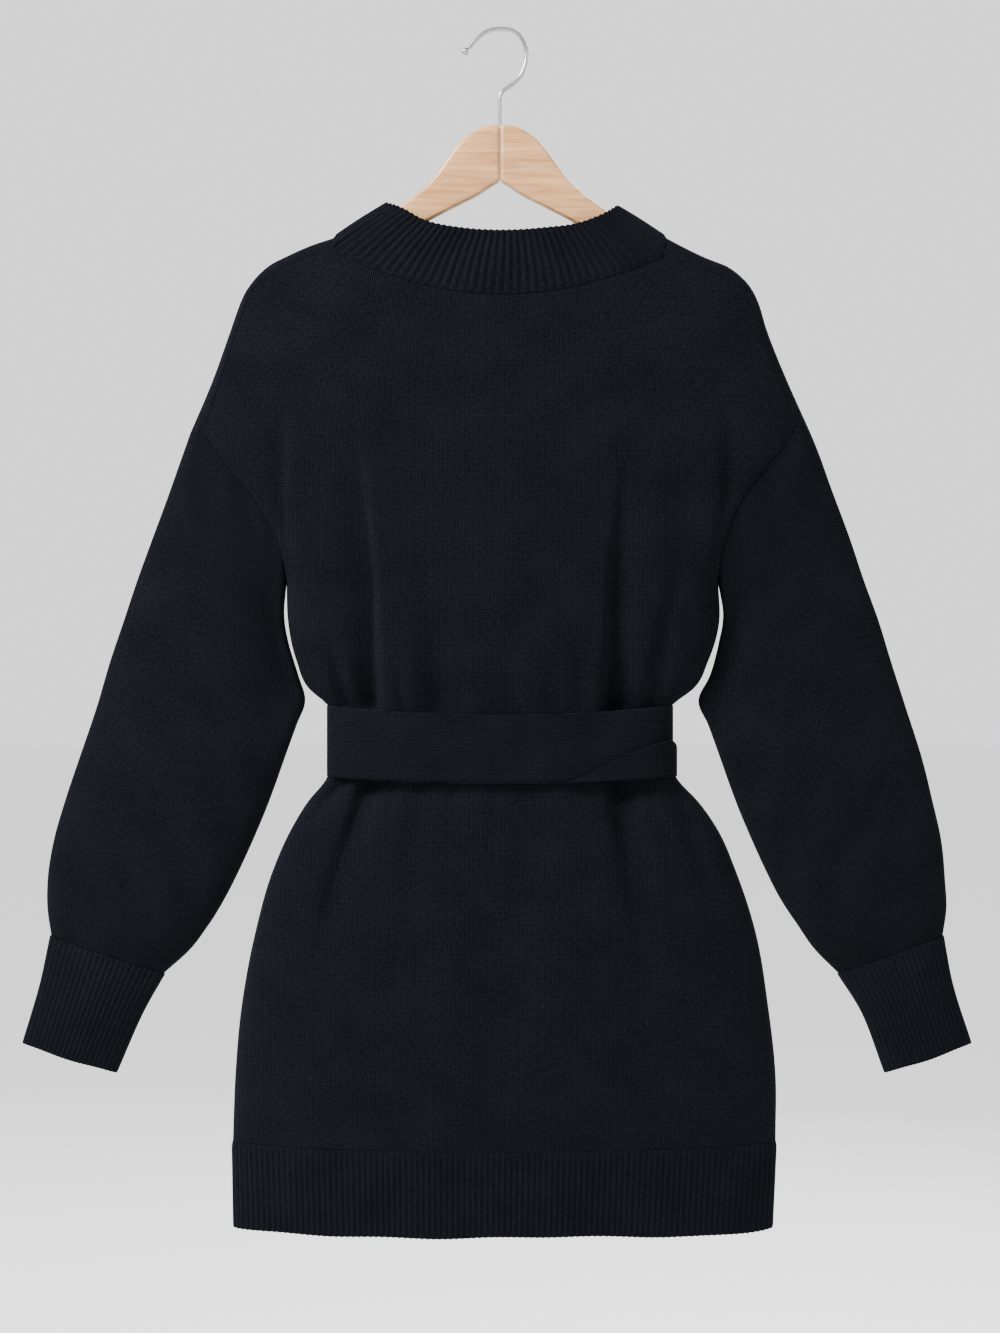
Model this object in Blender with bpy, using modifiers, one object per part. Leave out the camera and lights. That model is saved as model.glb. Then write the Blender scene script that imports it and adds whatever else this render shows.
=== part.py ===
"""A knitted long-sleeve dress with its tie belt, hanging on a wooden hanger.

Metres, +Z up. The origin is the inner top of the hanger's hook, where a rail
carries it. The side that shows, the dress's back, faces -Y. Tables are in
millimetres: x runs to the viewer's right and drop is the distance below the
origin.
"""
import math

import bmesh
import bpy
import numpy as np
from mathutils import Vector

MM = 0.001

# Knit
WALL = 2.5              # thickness of the body's plain knit
RIB_WALL = 2.8          # thickness of ribbed knit, without its ribs
RIB_HEIGHT = 1.1        # height of a rib over the furrow beside it
SEAM_INSET = 0.25       # how far each piece stops short of its seam line
NECK_RIBS = 88
CUFF_RIBS = 46
HEM_RIBS = 196

# Body
SHOULDER_ROLL = 11.5    # half depth of the shoulder's rolled edge
NECK_DROP = 219.0       # drop of the neck seam at the centre back
NECK_CURVE = 1.9        # how round the neck seam is
HEM_SEAM_DROP = 909.0
HEM_SEAM_SAG = 7.0      # how far the hem seam sags at the centre
HEM_BOTTOM_DROP = 980.0
HEM_BOTTOM_SAG = 8.0
FAR_FOLD_SHARE = 0.8    # depth of the hidden side's folds against the shown side's
FOLD_END = 1.0          # how soon a fold ends under the belt
ROLL_END_SLOPE = 0.35   # how far the rolled edge faces upwards at the armhole

# Belt
BELT_WALL = 2.6
BELT_CLEAR = 0.6        # gap between the belt and the dress
BELT_SIDE_ROOM = 0.6    # more room for the turned-up edge where it rounds the side
BELT_TOP_DROP = 552.0
BELT_TOP_SAG = 8.0
BELT_BOTTOM_DROP = 611.0
BELT_BOTTOM_SAG = 5.0
BELT_STEPS = 120        # steps round the belt from which its laid-on layers are made
TURN_STEPS = (42, 60)   # where the turned-up lower edge starts and ends
TURN_SHARE = 0.45       # how much of the belt it covers at its end
LAP_STEPS = (84, 101)   # where the lapped end lies, on the hidden side

# Hanger
HANGER_THICK = 11.0
HANGER_MITRE_GAP = 0.3
HOOK_WIRE = 3.7
HOOK_TIP = 6.4

# Shoulder: the seam on the shown side and the rolled edge beyond it
SHOULDER = [
    # seam x, seam drop, edge x, edge drop; left then right
    ((-139, 182, -137, 170), (133, 188, 137, 170)),
    ((-160, 189, -155, 176), (152, 194, 154, 179)),
    ((-176, 195, -173, 184), (168, 198, 171, 187)),
    ((-190, 203, -190, 193), (184, 203, 188, 194)),
    ((-201, 213, -203, 206), (197, 213, 203, 207)),
    ((-208, 228, -212, 221), (205, 227, 212, 223)),
    ((-216, 252, -222, 249), (213, 249, 220, 249)),
    ((-229, 290, -236, 288), (228, 287, 235, 286)),
    ((-242, 329, -254, 330), (242, 325, 253, 326)),
]

# Armhole seam, from the shoulder's end to the underarm
ARMHOLE = [
    # drop, left x, right x, half depth
    (346, -232, 228, 12.0),
    (364, -217, 213, 13.5),
    (384, -201, 198, 14.0),
    (404, -188, 188, 14.0),
    (424, -179, 181, 13.0),
    (440, -176, 179, 9.0),
    (454, -175, 179, 0.0),
]

# Side seams, from the underarm to the hem rib
SIDES = [
    # drop, left x, right x
    (483, -174, 180),
    (516, -167, 171),
    (540, -156, 158),
    (552, -142, 142),
    (583, -139, 139),
    (614, -143, 146),
    (631, -157, 162),
    (652, -170, 177),
    (690, -187, 194),
    (736, -200, 209),
    (800, -212, 220),
    (856, -217, 226),
    (909, -219, 226),
]

# Half depths at the centre, down the dress
DEPTHS = [
    # drop, shown side, hidden side
    (219, 24, 23),
    (270, 28, 26),
    (330, 32, 29),
    (400, 34, 31),
    (454, 35, 32),
    (520, 34, 31),
    (552, 27, 25),
    (614, 27, 25),
    (650, 33, 31),
    (720, 38, 35),
    (800, 40, 37),
    (909, 36, 34),
    (990, 31, 30),
]

# Folds of the shown side: soft valleys running down the dress
FOLDS = [
    # name, (x, drop, depth) at its top, middle and bottom, width to the left and to the right
    ("bodice left", (-126, 303, 0), (-106, 450, 7), (-102, 549, 10), 15, 8),
    ("bodice left side", (-143, 490, 0), (-134, 516, 5), (-126, 551, 6), 8, 8),
    ("bodice left middle", (-62, 380, 0), (-54, 483, 3), (-52, 545, 4), 14, 14),
    ("bodice right", (113, 335, 0), (94, 450, 7), (90, 549, 10), 8, 15),
    ("bodice right side", (152, 417, 0), (135, 483, 5), (123, 545, 6), 9, 11),
    ("left arm", (-176, 286, 0), (-176, 380, 5), (-172, 470, 3), 9, 7),
    ("right arm", (184, 286, 0), (184, 380, 5), (176, 470, 3), 7, 9),
    ("skirt left side", (-128, 615, 6), (-143, 631, 5), (-162, 658, 0), 8, 9),
    ("skirt left", (-107, 615, 8), (-133, 688, 5), (-172, 836, 0), 9, 10),
    ("skirt left middle", (-66, 615, 3), (-72, 688, 3), (-90, 836, 0), 14, 14),
    ("skirt centre", (25, 615, 2), (25, 720, 2.5), (25, 836, 0), 20, 20),
    ("skirt right", (93, 615, 9), (108, 729, 6), (133, 836, 0), 8, 16),
    ("skirt right side", (143, 620, 5), (166, 688, 4), (179, 735, 0), 9, 9),
]

# Sleeves: the outer and inner edges of each section below the armhole
SLEEVES = [
    # outer drop, left x, right x; inner drop, left x, right x; half depth, shift to the back
    (352, -262, 263, 476, -177, 183, 15, 2),
    (385, -274, 276, 500, -174, 180, 16, 4),
    (417, -286, 288, 527, -166, 173, 17, 5),
    (450, -298, 299, 549, -160, 163, 18, 5),
    (483, -309, 311, 569, -167, 171, 18, 5),
    (516, -320, 321, 594, -176, 180, 19, 4),
    (553, -331, 333, 625, -187, 191, 19, 4),
    (598, -346, 347, 655, -199, 203, 20, 3),
    (631, -357, 355, 684, -212, 216, 20, 3),
    (663, -366, 362, 710, -225, 229, 20, 2),
    (696, -371, 365, 733, -239, 244, 19, 1),
    (719, -371, 366, 753, -254, 258, 17, 0),
    (741, -368, 363, 772, -275, 277, 12, 0),
]

# Cuffs: the same columns, below the sleeve's last section
CUFFS = [
    (783, -377, 371, 806, -294, 298, 11, 0),
    (830, -391, 386, 854, -315, 316, 10, 0),
]

# Neck rib: its top edge, from the left peak to the right one
NECK_TOP = [
    # x, drop, share of the half depth
    (-92, 141, 0.0),
    (-83, 145, 0.45),
    (-62, 157, 0.80),
    (-31, 164, 0.97),
    (0, 166, 1.0),
    (35, 164, 0.97),
    (66, 159, 0.80),
    (88, 149, 0.45),
    (96, 143, 0.0),
]
NECK_TOP_DEPTH = 21.0
NECK_TOP_FAR_DROP = 3.0   # how much lower the hidden side's top edge lies

# Hanger arm, as seen from the shown side, for one arm; the other mirrors it
ARM_TOP = [
    # distance from the middle, drop
    (6, 77), (16, 79.5), (27, 86), (35, 94), (44, 106), (54, 120), (66, 132),
    (84, 145.5), (106, 160.5), (130, 175), (150, 183.5), (168, 191), (180, 197.5), (185, 205),
]
ARM_BOTTOM = [
    (184, 213), (175, 218), (146, 206), (112, 189), (84, 170), (59, 156), (38, 145), (20, 136),
    (6, 127),
]
ARM_PEAK_DROP = 77.0
ARM_NOTCH_DROP = 124.0

# Hook: the wire's middle line, from the hanger up and round
HOOK = [
    # x, drop
    (0.0, 77.1), (0.0, 62.0), (0.6, 51.5), (5.5, 47.0), (11.5, 42.5), (16.6, 36.8),
    (20.0, 30.0), (21.9, 22.0), (21.2, 13.2), (17.0, 4.6), (9.8, -0.6), (0.0, -1.9),
    (-8.6, -0.6), (-16.0, 3.6), (-21.6, 9.0), (-26.0, 14.0),
]
HOOK_TIP_PLACE = (-28.3, 16.65)

SEAM_FACING = (0.0, -1.0, 0.0)   # the wall's direction along the shoulder seams

# Colours and finishes
KNIT_COLOUR = (0.010, 0.013, 0.020, 1.0)
RIB_COLOUR = (0.012, 0.015, 0.023, 1.0)
BELT_COLOUR = (0.011, 0.014, 0.021, 1.0)
WOOD_COLOUR = (0.62, 0.36, 0.17, 1.0)
STEEL_COLOUR = (0.55, 0.55, 0.56, 1.0)


def clear_scene():
    """Removes whatever the file holds."""
    for item in list(bpy.data.objects):
        bpy.data.objects.remove(item, do_unlink=True)


def material(name, colour, roughness, metallic=0.0):
    """Makes a Principled material with one colour."""
    made = bpy.data.materials.new(name)
    made.use_nodes = True
    shader = made.node_tree.nodes["Principled BSDF"]
    shader.inputs["Base Color"].default_value = colour
    shader.inputs["Roughness"].default_value = roughness
    shader.inputs["Metallic"].default_value = metallic
    return made


def place(name, mesh, finish, collection):
    """Puts a mesh in the scene as one named piece."""
    piece = bpy.data.objects.new(name, mesh)
    mesh.materials.append(finish)
    collection.objects.link(piece)
    return piece


def track(keys, values):
    """A smooth curve through the values, read at any key."""
    keys = np.array(keys, float)
    values = np.array(values, float)
    slopes = np.gradient(values, keys)

    def read(key):
        key = min(max(key, keys[0]), keys[-1])
        i = min(int(np.searchsorted(keys, key, side="right")) - 1, len(keys) - 2)
        span = keys[i + 1] - keys[i]
        t = (key - keys[i]) / span
        start = (1 + 2 * t) * (1 - t) ** 2 * values[i] + t * (1 - t) ** 2 * span * slopes[i]
        end = t * t * (3 - 2 * t) * values[i + 1] + t * t * (t - 1) * span * slopes[i + 1]
        return start + end

    return read


def resample(points, count, closed):
    """Even steps along a line of points."""
    points = np.array(points, float)
    if closed:
        points = np.vstack([points, points[:1]])
    steps = np.linalg.norm(np.diff(points, axis=0), axis=1)
    along = np.concatenate([[0.0], np.cumsum(steps)])
    wanted = np.linspace(0.0, along[-1], count, endpoint=not closed)
    return np.column_stack([np.interp(wanted, along, points[:, axis]) for axis in range(3)])


NEAR_DEPTH = track([row[0] for row in DEPTHS], [row[1] for row in DEPTHS])
FAR_DEPTH = track([row[0] for row in DEPTHS], [row[2] for row in DEPTHS])


def fold_depth(x, drop):
    """How deep the folds of the shown side are at one place."""
    total = 0.0
    for _, top, middle, bottom, left_width, right_width in FOLDS:
        fade = 1.0
        if drop < top[1]:
            fade = max(0.0, 1.0 - (top[1] - drop) / FOLD_END)
        if drop > bottom[1]:
            fade = max(0.0, 1.0 - (drop - bottom[1]) / FOLD_END)
        if fade == 0.0:
            continue
        drops = (top[1], middle[1], bottom[1])
        centre = np.interp(drop, drops, (top[0], middle[0], bottom[0]))
        depth = np.interp(drop, drops, (top[2], middle[2], bottom[2]))
        width = left_width if x < centre else right_width
        total += fade * depth * math.exp(-((x - centre) / width) ** 2)
    return total


def across(inner_steps):
    """Places from -1 to 1 across a panel, closer together beside its seams."""
    rim = [1.0, 0.991, 0.962, 0.915]
    inner = list(np.linspace(-0.855, 0.855, inner_steps))
    return [-value for value in rim] + inner + rim[::-1]


def levels():
    """The dress's sections, from the neck and shoulder seams to the hem seam.

    Each has its left and right end (x, drop), the half depth there, the drop
    at its centre and how steeply it rises from its ends.
    """
    found = []
    last = len(SHOULDER) - 1
    shoulder_end = SHOULDER[-1][0][1]
    for number, (left, right) in enumerate(SHOULDER):
        centre = NECK_DROP + (shoulder_end + 2.0 - NECK_DROP) * number / last
        found.append(((left[0], left[1]), (right[0], right[1]), SHOULDER_ROLL, centre, 0.8))
    for number, (drop, left_x, right_x, depth) in enumerate(ARMHOLE):
        rise = 0.8 - 0.38 * (number + 1) / len(ARMHOLE)
        found.append(((left_x, drop), (right_x, drop), depth, drop + 2.0, rise))
    for drop, left_x, right_x in SIDES:
        sag = HEM_SEAM_SAG * max(0.0, (drop - 800.0) / (HEM_SEAM_DROP - 800.0))
        found.append(((left_x, drop), (right_x, drop), 0.0, drop + sag, 0.42))
    return found


def panel_rows(side, inner_steps):
    """The points of one panel, a row for each level; side is -1 for the shown one."""
    depth_at = NEAR_DEPTH if side < 0 else FAR_DEPTH
    rows = []
    for left, right, end_depth, centre, rise in levels():
        row = []
        mean_end = (left[1] + right[1]) / 2
        for s in across(inner_steps):
            share = (s + 1) / 2
            x = left[0] + (right[0] - left[0]) * share
            drop = left[1] + (right[1] - left[1]) * share
            drop += (centre - mean_end) * (1 - abs(s) ** NECK_CURVE)
            depth = end_depth + (depth_at(centre) - end_depth) * (1 - abs(s) ** 2.3) ** rise
            fold = fold_depth(x, drop) if side < 0 else FAR_FOLD_SHARE * fold_depth(6 - x, drop)
            depth -= fold * (1 - abs(s) ** 12)
            row.append((x, side * depth, -drop))
        rows.append(row)
    return rows


def shoulder_roll(ends, side_steps=2):
    """Points over the shoulder's rolled edge, from the shown side's seam to the hidden side."""
    seam_x, seam_drop, edge_x, edge_drop = ends
    points = []
    for step in range(2 * side_steps + 1):
        angle = math.pi / 2 * (1 - step / side_steps)
        lift = math.cos(angle)
        points.append((
            seam_x + (edge_x - seam_x) * lift,
            -SHOULDER_ROLL * math.sin(angle),
            -(seam_drop + (edge_drop - seam_drop) * lift),
        ))
    return points


def roll_end_normals(hand):
    """Which way the rolled edge faces where it meets the sleeve, round the roll."""
    normals = []
    for step in range(5):
        angle = math.pi / 2 * (1 - step / 2)
        lift = math.cos(angle)
        normals.append((hand * lift, -math.sin(angle), ROLL_END_SLOPE * lift))
    return normals


def armhole_loop(hand):
    """The armhole seam from the underarm up the shown side, over and down the hidden side."""
    column = 1 if hand < 0 else 2
    near = [(row[column], -row[3], -row[0]) for row in ARMHOLE]
    roll = shoulder_roll(SHOULDER[-1][0 if hand < 0 else 1])
    far = [(x, -y, z) for x, y, z in near[:-1]]
    return near[::-1] + roll + far


def tube_ring(row, hand, count):
    """One section of a sleeve or cuff, from its inner edge round by the shown side."""
    pick = 1 if hand < 0 else 2
    outer = np.array([row[pick], 0.0, -row[0]])
    inner = np.array([row[3 + pick], 0.0, -row[3]])
    middle = (outer + inner) / 2
    reach = (outer - inner) / 2
    ring = []
    for step in range(count):
        angle = 2 * math.pi * step / count
        bulge = math.copysign(abs(math.sin(angle)) ** 0.8, math.sin(angle))
        point = middle - reach * math.cos(angle)
        point[1] = row[7] - row[6] * bulge
        ring.append(tuple(point))
    return ring


def tube_faces(rings, first=0):
    """Faces between closed rings of equal counts."""
    count = len(rings[0])
    faces = []
    for ring in range(len(rings) - 1):
        for step in range(count):
            after = (step + 1) % count
            low = first + ring * count
            faces.append((low + step, low + after, low + count + after, low + count + step))
    return faces


def strip_faces(row_count, column_count):
    """Faces of a rectangular grid of points."""
    faces = []
    for row in range(row_count - 1):
        for column in range(column_count - 1):
            corner = row * column_count + column
            faces.append((corner, corner + 1, corner + column_count + 1, corner + column_count))
    return faces


def wall(name, points, faces, thick, finish, collection, raised=None, level_normals=(), facing=None):
    """A closed wall under a surface.

    The surface's own side is the wall's outer face. Its edges stop short of
    the seams, and raised lifts single outer points, as ribs do, over a plain
    inside. level_normals lists points whose wall is laid without a slant to
    the front or back, where two panels meet at a side seam, and facing gives
    the wall's direction at points that two pieces share.
    """
    points = np.array(points, float)
    face_normals = []
    centres = []
    for face in faces:
        corners = points[list(face)]
        face_normals.append(np.cross(corners[2] - corners[0], corners[3] - corners[1]))
        centres.append(corners.mean(axis=0))
    normals = np.zeros_like(points)
    edge_uses = {}
    for face, normal, centre in zip(faces, face_normals, centres):
        for turn, index in enumerate(face):
            normals[index] += normal
            edge = (index, face[(turn + 1) % 4])
            edge_uses.setdefault(tuple(sorted(edge)), []).append((edge, centre))
    for index in level_normals:
        normals[index][1] = 0.0
    for index, direction in (facing or {}).items():
        normals[index] = direction
    normals /= np.linalg.norm(normals, axis=1)[:, None]
    rim = []
    inward = {}
    for (edge, centre), *others in edge_uses.values():
        if others:
            continue
        rim.append(edge)
        along = points[edge[1]] - points[edge[0]]
        step = centre - points[edge[0]]
        step -= along * step.dot(along) / along.dot(along)
        step /= np.linalg.norm(step)
        for index in edge:
            inward.setdefault(index, []).append(step)
    base = points.copy()
    for index, (one, other) in inward.items():
        base[index] += (one + other) / (1 + one.dot(other)) * SEAM_INSET
    outer = base.copy()
    if raised is not None:
        outer += normals * np.array(raised)[:, None]
    inner = base - normals * thick
    count = len(points)
    all_faces = [tuple(face) for face in faces]
    all_faces += [tuple(index + count for index in reversed(face)) for face in faces]
    all_faces += [(b, a, a + count, b + count) for a, b in rim]
    mesh = bpy.data.meshes.new(name)
    mesh.from_pydata([tuple(point * MM) for point in np.vstack([outer, inner])], [], all_faces)
    mesh.validate()
    mesh.shade_smooth()
    mesh.set_sharp_from_angle(angle=math.radians(50))
    return place(name, mesh, finish, collection)


def side_indices(row_count, column_count, first_row):
    """Indices of a panel's two edge points in each row from first_row on."""
    rows = range(first_row, row_count)
    return [row * column_count for row in rows] + [(row + 1) * column_count - 1 for row in rows]


def build_back(finish, collection):
    """The panel that shows."""
    rows = panel_rows(-1, 21)
    width = len(rows[0])
    points = [point for row in rows for point in row]
    faces = [face[::-1] for face in strip_faces(len(rows), width)]
    first_side = len(SHOULDER) + len(ARMHOLE) - 1
    seam = side_indices(len(SHOULDER), width, 0)
    wall("back_panel", points, faces, WALL, finish, collection,
         level_normals=side_indices(len(rows), width, first_side),
         facing={index: SEAM_FACING for index in seam})
    return rows


def build_front(finish, collection):
    """The hidden panel, which wraps over the shoulders to the seams on the shown side."""
    rows = panel_rows(1, 11)
    width = len(rows[0])
    points = [point for row in rows for point in row]
    faces = strip_faces(len(rows), width)
    facing = {}
    for hand, column in ((0, 0), (1, width - 1)):
        rolls = []
        for number, ends in enumerate(SHOULDER):
            roll = shoulder_roll(ends[hand])[:-1]
            indices = list(range(len(points), len(points) + len(roll)))
            points += roll
            rolls.append(indices + [number * width + column])
            facing[indices[0]] = SEAM_FACING
        facing.update(zip(rolls[-1], roll_end_normals(2 * hand - 1)))
        for upper, lower in zip(rolls, rolls[1:]):
            for step in range(len(upper) - 1):
                face = (upper[step], upper[step + 1], lower[step + 1], lower[step])
                faces.append(face if hand == 0 else face[::-1])
    first_side = len(SHOULDER) + len(ARMHOLE) - 1
    wall("front_panel", points, faces, WALL, finish, collection,
         level_normals=side_indices(len(rows), width, first_side), facing=facing)
    return rows


def build_sleeve(name, hand, finish, collection):
    """One sleeve, from the armhole seam to the cuff seam; returns its last ring."""
    rings = [armhole_loop(hand)]
    count = len(rings[0])
    rings += [tube_ring(row, hand, count) for row in SLEEVES]
    faces = tube_faces(rings)
    if hand > 0:
        faces = [face[::-1] for face in faces]
    facing = dict(zip(range(len(ARMHOLE), len(ARMHOLE) + 5), roll_end_normals(hand)))
    wall(name, [point for ring in rings for point in ring], faces, WALL, finish, collection,
         facing=facing)
    return rings[-1]


def rib_lift(ring_count, columns):
    """Every second column of points is raised."""
    return [RIB_HEIGHT * (column % 2) for _ in range(ring_count) for column in range(columns)]


def ribbed_tube(name, rings, flip, finish, collection):
    """A tube whose ribs run along it."""
    faces = tube_faces(rings)
    if flip:
        faces = [face[::-1] for face in faces]
    points = [tuple(point) for ring in rings for point in ring]
    wall(name, points, faces, RIB_WALL, finish, collection, raised=rib_lift(len(rings), len(rings[0])))


def build_cuff(name, hand, seam_ring, finish, collection):
    """One ribbed cuff below its sleeve."""
    count = 2 * CUFF_RIBS
    rings = [resample(seam_ring, count, True)]
    rings += [resample(tube_ring(row, hand, len(seam_ring)), count, True) for row in CUFFS]
    ribbed_tube(name, rings, hand > 0, finish, collection)


def neck_loop(back_rows, front_rows):
    """The neck seam, from the left shoulder edge round by the shown side."""
    left = shoulder_roll(SHOULDER[0][0])
    right = shoulder_roll(SHOULDER[0][1])
    loop = left[:3][::-1][:-1] + back_rows[0] + right[1:3] + right[3:4] + front_rows[0][::-1] + left[3:4]
    return loop


def neck_top_loop():
    """The neck rib's upper edge, from the left peak round by the shown side."""
    xs = [row[0] for row in NECK_TOP]
    drop_at = track(xs, [row[1] for row in NECK_TOP])
    share_at = track(xs, [row[2] for row in NECK_TOP])
    middle = (xs[0] + xs[-1]) / 2
    reach = (xs[-1] - xs[0]) / 2
    near = []
    far = []
    steps = 24
    for step in range(steps + 1):
        x = middle - reach * math.cos(math.pi * step / steps)
        depth = NECK_TOP_DEPTH * share_at(x)
        near.append((x, -depth, -drop_at(x)))
        far.append((x, depth, -drop_at(x) - NECK_TOP_FAR_DROP * share_at(x)))
    return near + far[1:-1][::-1]


def build_neck(back_rows, front_rows, finish, collection):
    """The funnel neck in rib."""
    count = 2 * NECK_RIBS
    seam = resample(neck_loop(back_rows, front_rows), count, True)
    top = resample(neck_top_loop(), count, True)
    ribbed_tube("neck_rib", [top, seam], True, finish, collection)


def body_ring(back_rows, front_rows, number):
    """A closed ring of the dress at one level, from the left side seam by the shown side."""
    return back_rows[number] + front_rows[number][::-1][1:-1]


def build_hem(back_rows, front_rows, finish, collection):
    """The ribbed hem band."""
    count = 2 * HEM_RIBS
    seam = resample(body_ring(back_rows, front_rows, -1), count, True)
    bottom = seam.copy()
    reach = (SIDES[-1][2] - SIDES[-1][1]) / 2
    middle = (SIDES[-1][2] + SIDES[-1][1]) / 2
    for point in bottom:
        across_share = (point[0] - middle) / reach
        point[0] = middle - 1.0 + (point[0] - middle) * 0.99
        point[1] *= NEAR_DEPTH(DEPTHS[-1][0]) / NEAR_DEPTH(HEM_SEAM_DROP)
        point[2] = -(HEM_BOTTOM_DROP + HEM_BOTTOM_SAG * (1 - across_share ** 6))
    ribbed_tube("hem_rib", [seam, bottom], True, finish, collection)


def belt_surface(back_rows, front_rows, out):
    """Three rings just outside the waist, moved out by the given distance."""
    first = len(SHOULDER) + len(ARMHOLE) + 3
    rings = []
    for number, share in ((first, 0.0), (first + 1, 0.5), (first + 2, 1.0)):
        ring = []
        for x, y, z in body_ring(back_rows, front_rows, number):
            sag = 1 - (x / 146.0) ** 2
            top = BELT_TOP_DROP + BELT_TOP_SAG * sag
            bottom = BELT_BOTTOM_DROP + BELT_BOTTOM_SAG * sag
            ring.append([x, y, -(top + (bottom - top) * share)])
        ring = np.array(ring)
        ahead = np.roll(ring, -1, axis=0) - np.roll(ring, 1, axis=0)
        outward = np.column_stack([ahead[:, 1], -ahead[:, 0], np.zeros(len(ring))])
        outward /= np.linalg.norm(outward, axis=1)[:, None]
        rings.append(ring + outward * out)
    return rings


def belt_layer(name, rings, steps, top_share, finish, collection):
    """A layer laid on the belt between two of its steps, down to its lower edge."""
    even = [resample(ring, BELT_STEPS, True) for ring in rings]
    columns = list(range(steps[0], steps[1] + 1))
    rows = []
    for row_share in (0.0, 0.5, 1.0):
        row = []
        for number, column in enumerate(columns):
            top = top_share(number / (len(columns) - 1))
            share = 2 * (top + (1 - top) * row_share)
            upper = min(int(share), 1)
            point = even[upper][column] * (upper + 1 - share) + even[upper + 1][column] * (share - upper)
            row.append(tuple(point))
        rows.append(row)
    points = [point for row in rows for point in row]
    faces = [face[::-1] for face in strip_faces(len(rows), len(columns))]
    wall(name, points, faces, BELT_WALL, finish, collection)


def build_belt(back_rows, front_rows, finish, collection):
    """The knitted belt, its turned-up lower edge and its lapped end."""
    rings = belt_surface(back_rows, front_rows, BELT_CLEAR + BELT_WALL)
    faces = [face[::-1] for face in tube_faces(rings)]
    points = [tuple(point) for ring in rings for point in ring]
    wall("belt", points, faces, BELT_WALL, finish, collection)
    out = 2 * (BELT_CLEAR + BELT_WALL)
    around_side = belt_surface(back_rows, front_rows, out + BELT_SIDE_ROOM)
    belt_layer("belt_turn", around_side, TURN_STEPS, lambda share: 0.95 - TURN_SHARE * share, finish, collection)
    belt_layer("belt_lap", belt_surface(back_rows, front_rows, out), LAP_STEPS, lambda share: 0.0, finish, collection)


def build_arm(name, hand, finish, collection):
    """One wooden arm of the hanger, cut square to the other at the middle."""
    middle = HANGER_MITRE_GAP / 2
    outline = [(middle, ARM_PEAK_DROP)] + ARM_TOP + ARM_BOTTOM + [(middle, ARM_NOTCH_DROP)]
    mesh = bpy.data.meshes.new(name)
    shape = bmesh.new()
    corners = [
        shape.verts.new((hand * reach * MM, -HANGER_THICK / 2 * MM, -drop * MM))
        for reach, drop in outline
    ]
    face = shape.faces.new(corners)
    pushed = bmesh.ops.extrude_face_region(shape, geom=[face])
    moved = [item for item in pushed["geom"] if isinstance(item, bmesh.types.BMVert)]
    bmesh.ops.translate(shape, verts=moved, vec=Vector((0, HANGER_THICK * MM, 0)))
    bmesh.ops.recalc_face_normals(shape, faces=shape.faces)
    shape.to_mesh(mesh)
    shape.free()
    arm = place(name, mesh, finish, collection)
    soften = arm.modifiers.new("rounded edges", "BEVEL")
    soften.width = 3.2 * MM
    soften.segments = 2
    soften.limit_method = "ANGLE"
    soften.angle_limit = math.radians(60)
    return arm


def build_hook(finish, collection):
    """The wire hook with its round tip."""
    wire = bpy.data.curves.new("hook", "CURVE")
    wire.dimensions = "3D"
    wire.bevel_depth = HOOK_WIRE / 2 * MM
    wire.bevel_resolution = 2
    wire.use_fill_caps = True
    line = wire.splines.new("POLY")
    line.points.add(len(HOOK) - 1)
    for point, (x, drop) in zip(line.points, HOOK):
        point.co = (x * MM, 0.0, -drop * MM, 1.0)
    wire.materials.append(finish)
    hook = bpy.data.objects.new("hook", wire)
    collection.objects.link(hook)
    tip_x, tip_drop = HOOK_TIP_PLACE
    ball = bmesh.new()
    bmesh.ops.create_uvsphere(ball, u_segments=12, v_segments=8, radius=HOOK_TIP / 2 * MM)
    bmesh.ops.translate(ball, verts=ball.verts, vec=Vector((tip_x * MM, 0.0, -tip_drop * MM)))
    mesh = bpy.data.meshes.new("hook_tip")
    ball.to_mesh(mesh)
    ball.free()
    mesh.shade_smooth()
    place("hook_tip", mesh, finish, collection)


def main():
    """Builds the dress on its hanger."""
    clear_scene()
    dress = bpy.data.collections.new("knitted_dress")
    bpy.context.scene.collection.children.link(dress)
    knit = material("knit", KNIT_COLOUR, 0.95)
    rib = material("rib", RIB_COLOUR, 0.95)
    belt = material("belt_knit", BELT_COLOUR, 0.95)
    wood = material("wood", WOOD_COLOUR, 0.5)
    steel = material("steel", STEEL_COLOUR, 0.3, 1.0)
    back_rows = build_back(knit, dress)
    front_rows = build_front(knit, dress)
    for side_name, hand in (("left", -1), ("right", 1)):
        seam_ring = build_sleeve(f"sleeve_{side_name}", hand, knit, dress)
        build_cuff(f"cuff_{side_name}", hand, seam_ring, rib, dress)
        build_arm(f"hanger_arm_{side_name}", hand, wood, dress)
    build_neck(back_rows, front_rows, rib, dress)
    build_hem(back_rows, front_rows, rib, dress)
    build_belt(back_rows, front_rows, belt, dress)
    build_hook(steel, dress)


main()
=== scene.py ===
"""The looks of a dark knitted dress with a knitted belt, hanging on a wooden hanger.

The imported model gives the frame: metres, +Z up, the origin at the inner top of
the hanger's hook, the side that shows facing -Y. Sizes below are in
millimetres unless a name says otherwise; x runs to the viewer's right and drop
is the distance below the origin. Each knitted piece is a thin wall made on the
form of its solid, with the ribs, seams and folds that the solid only hints at.
"""
from __future__ import annotations

import logging
import math
from dataclasses import dataclass, field
from enum import Enum
from typing import Callable, Sequence

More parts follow.
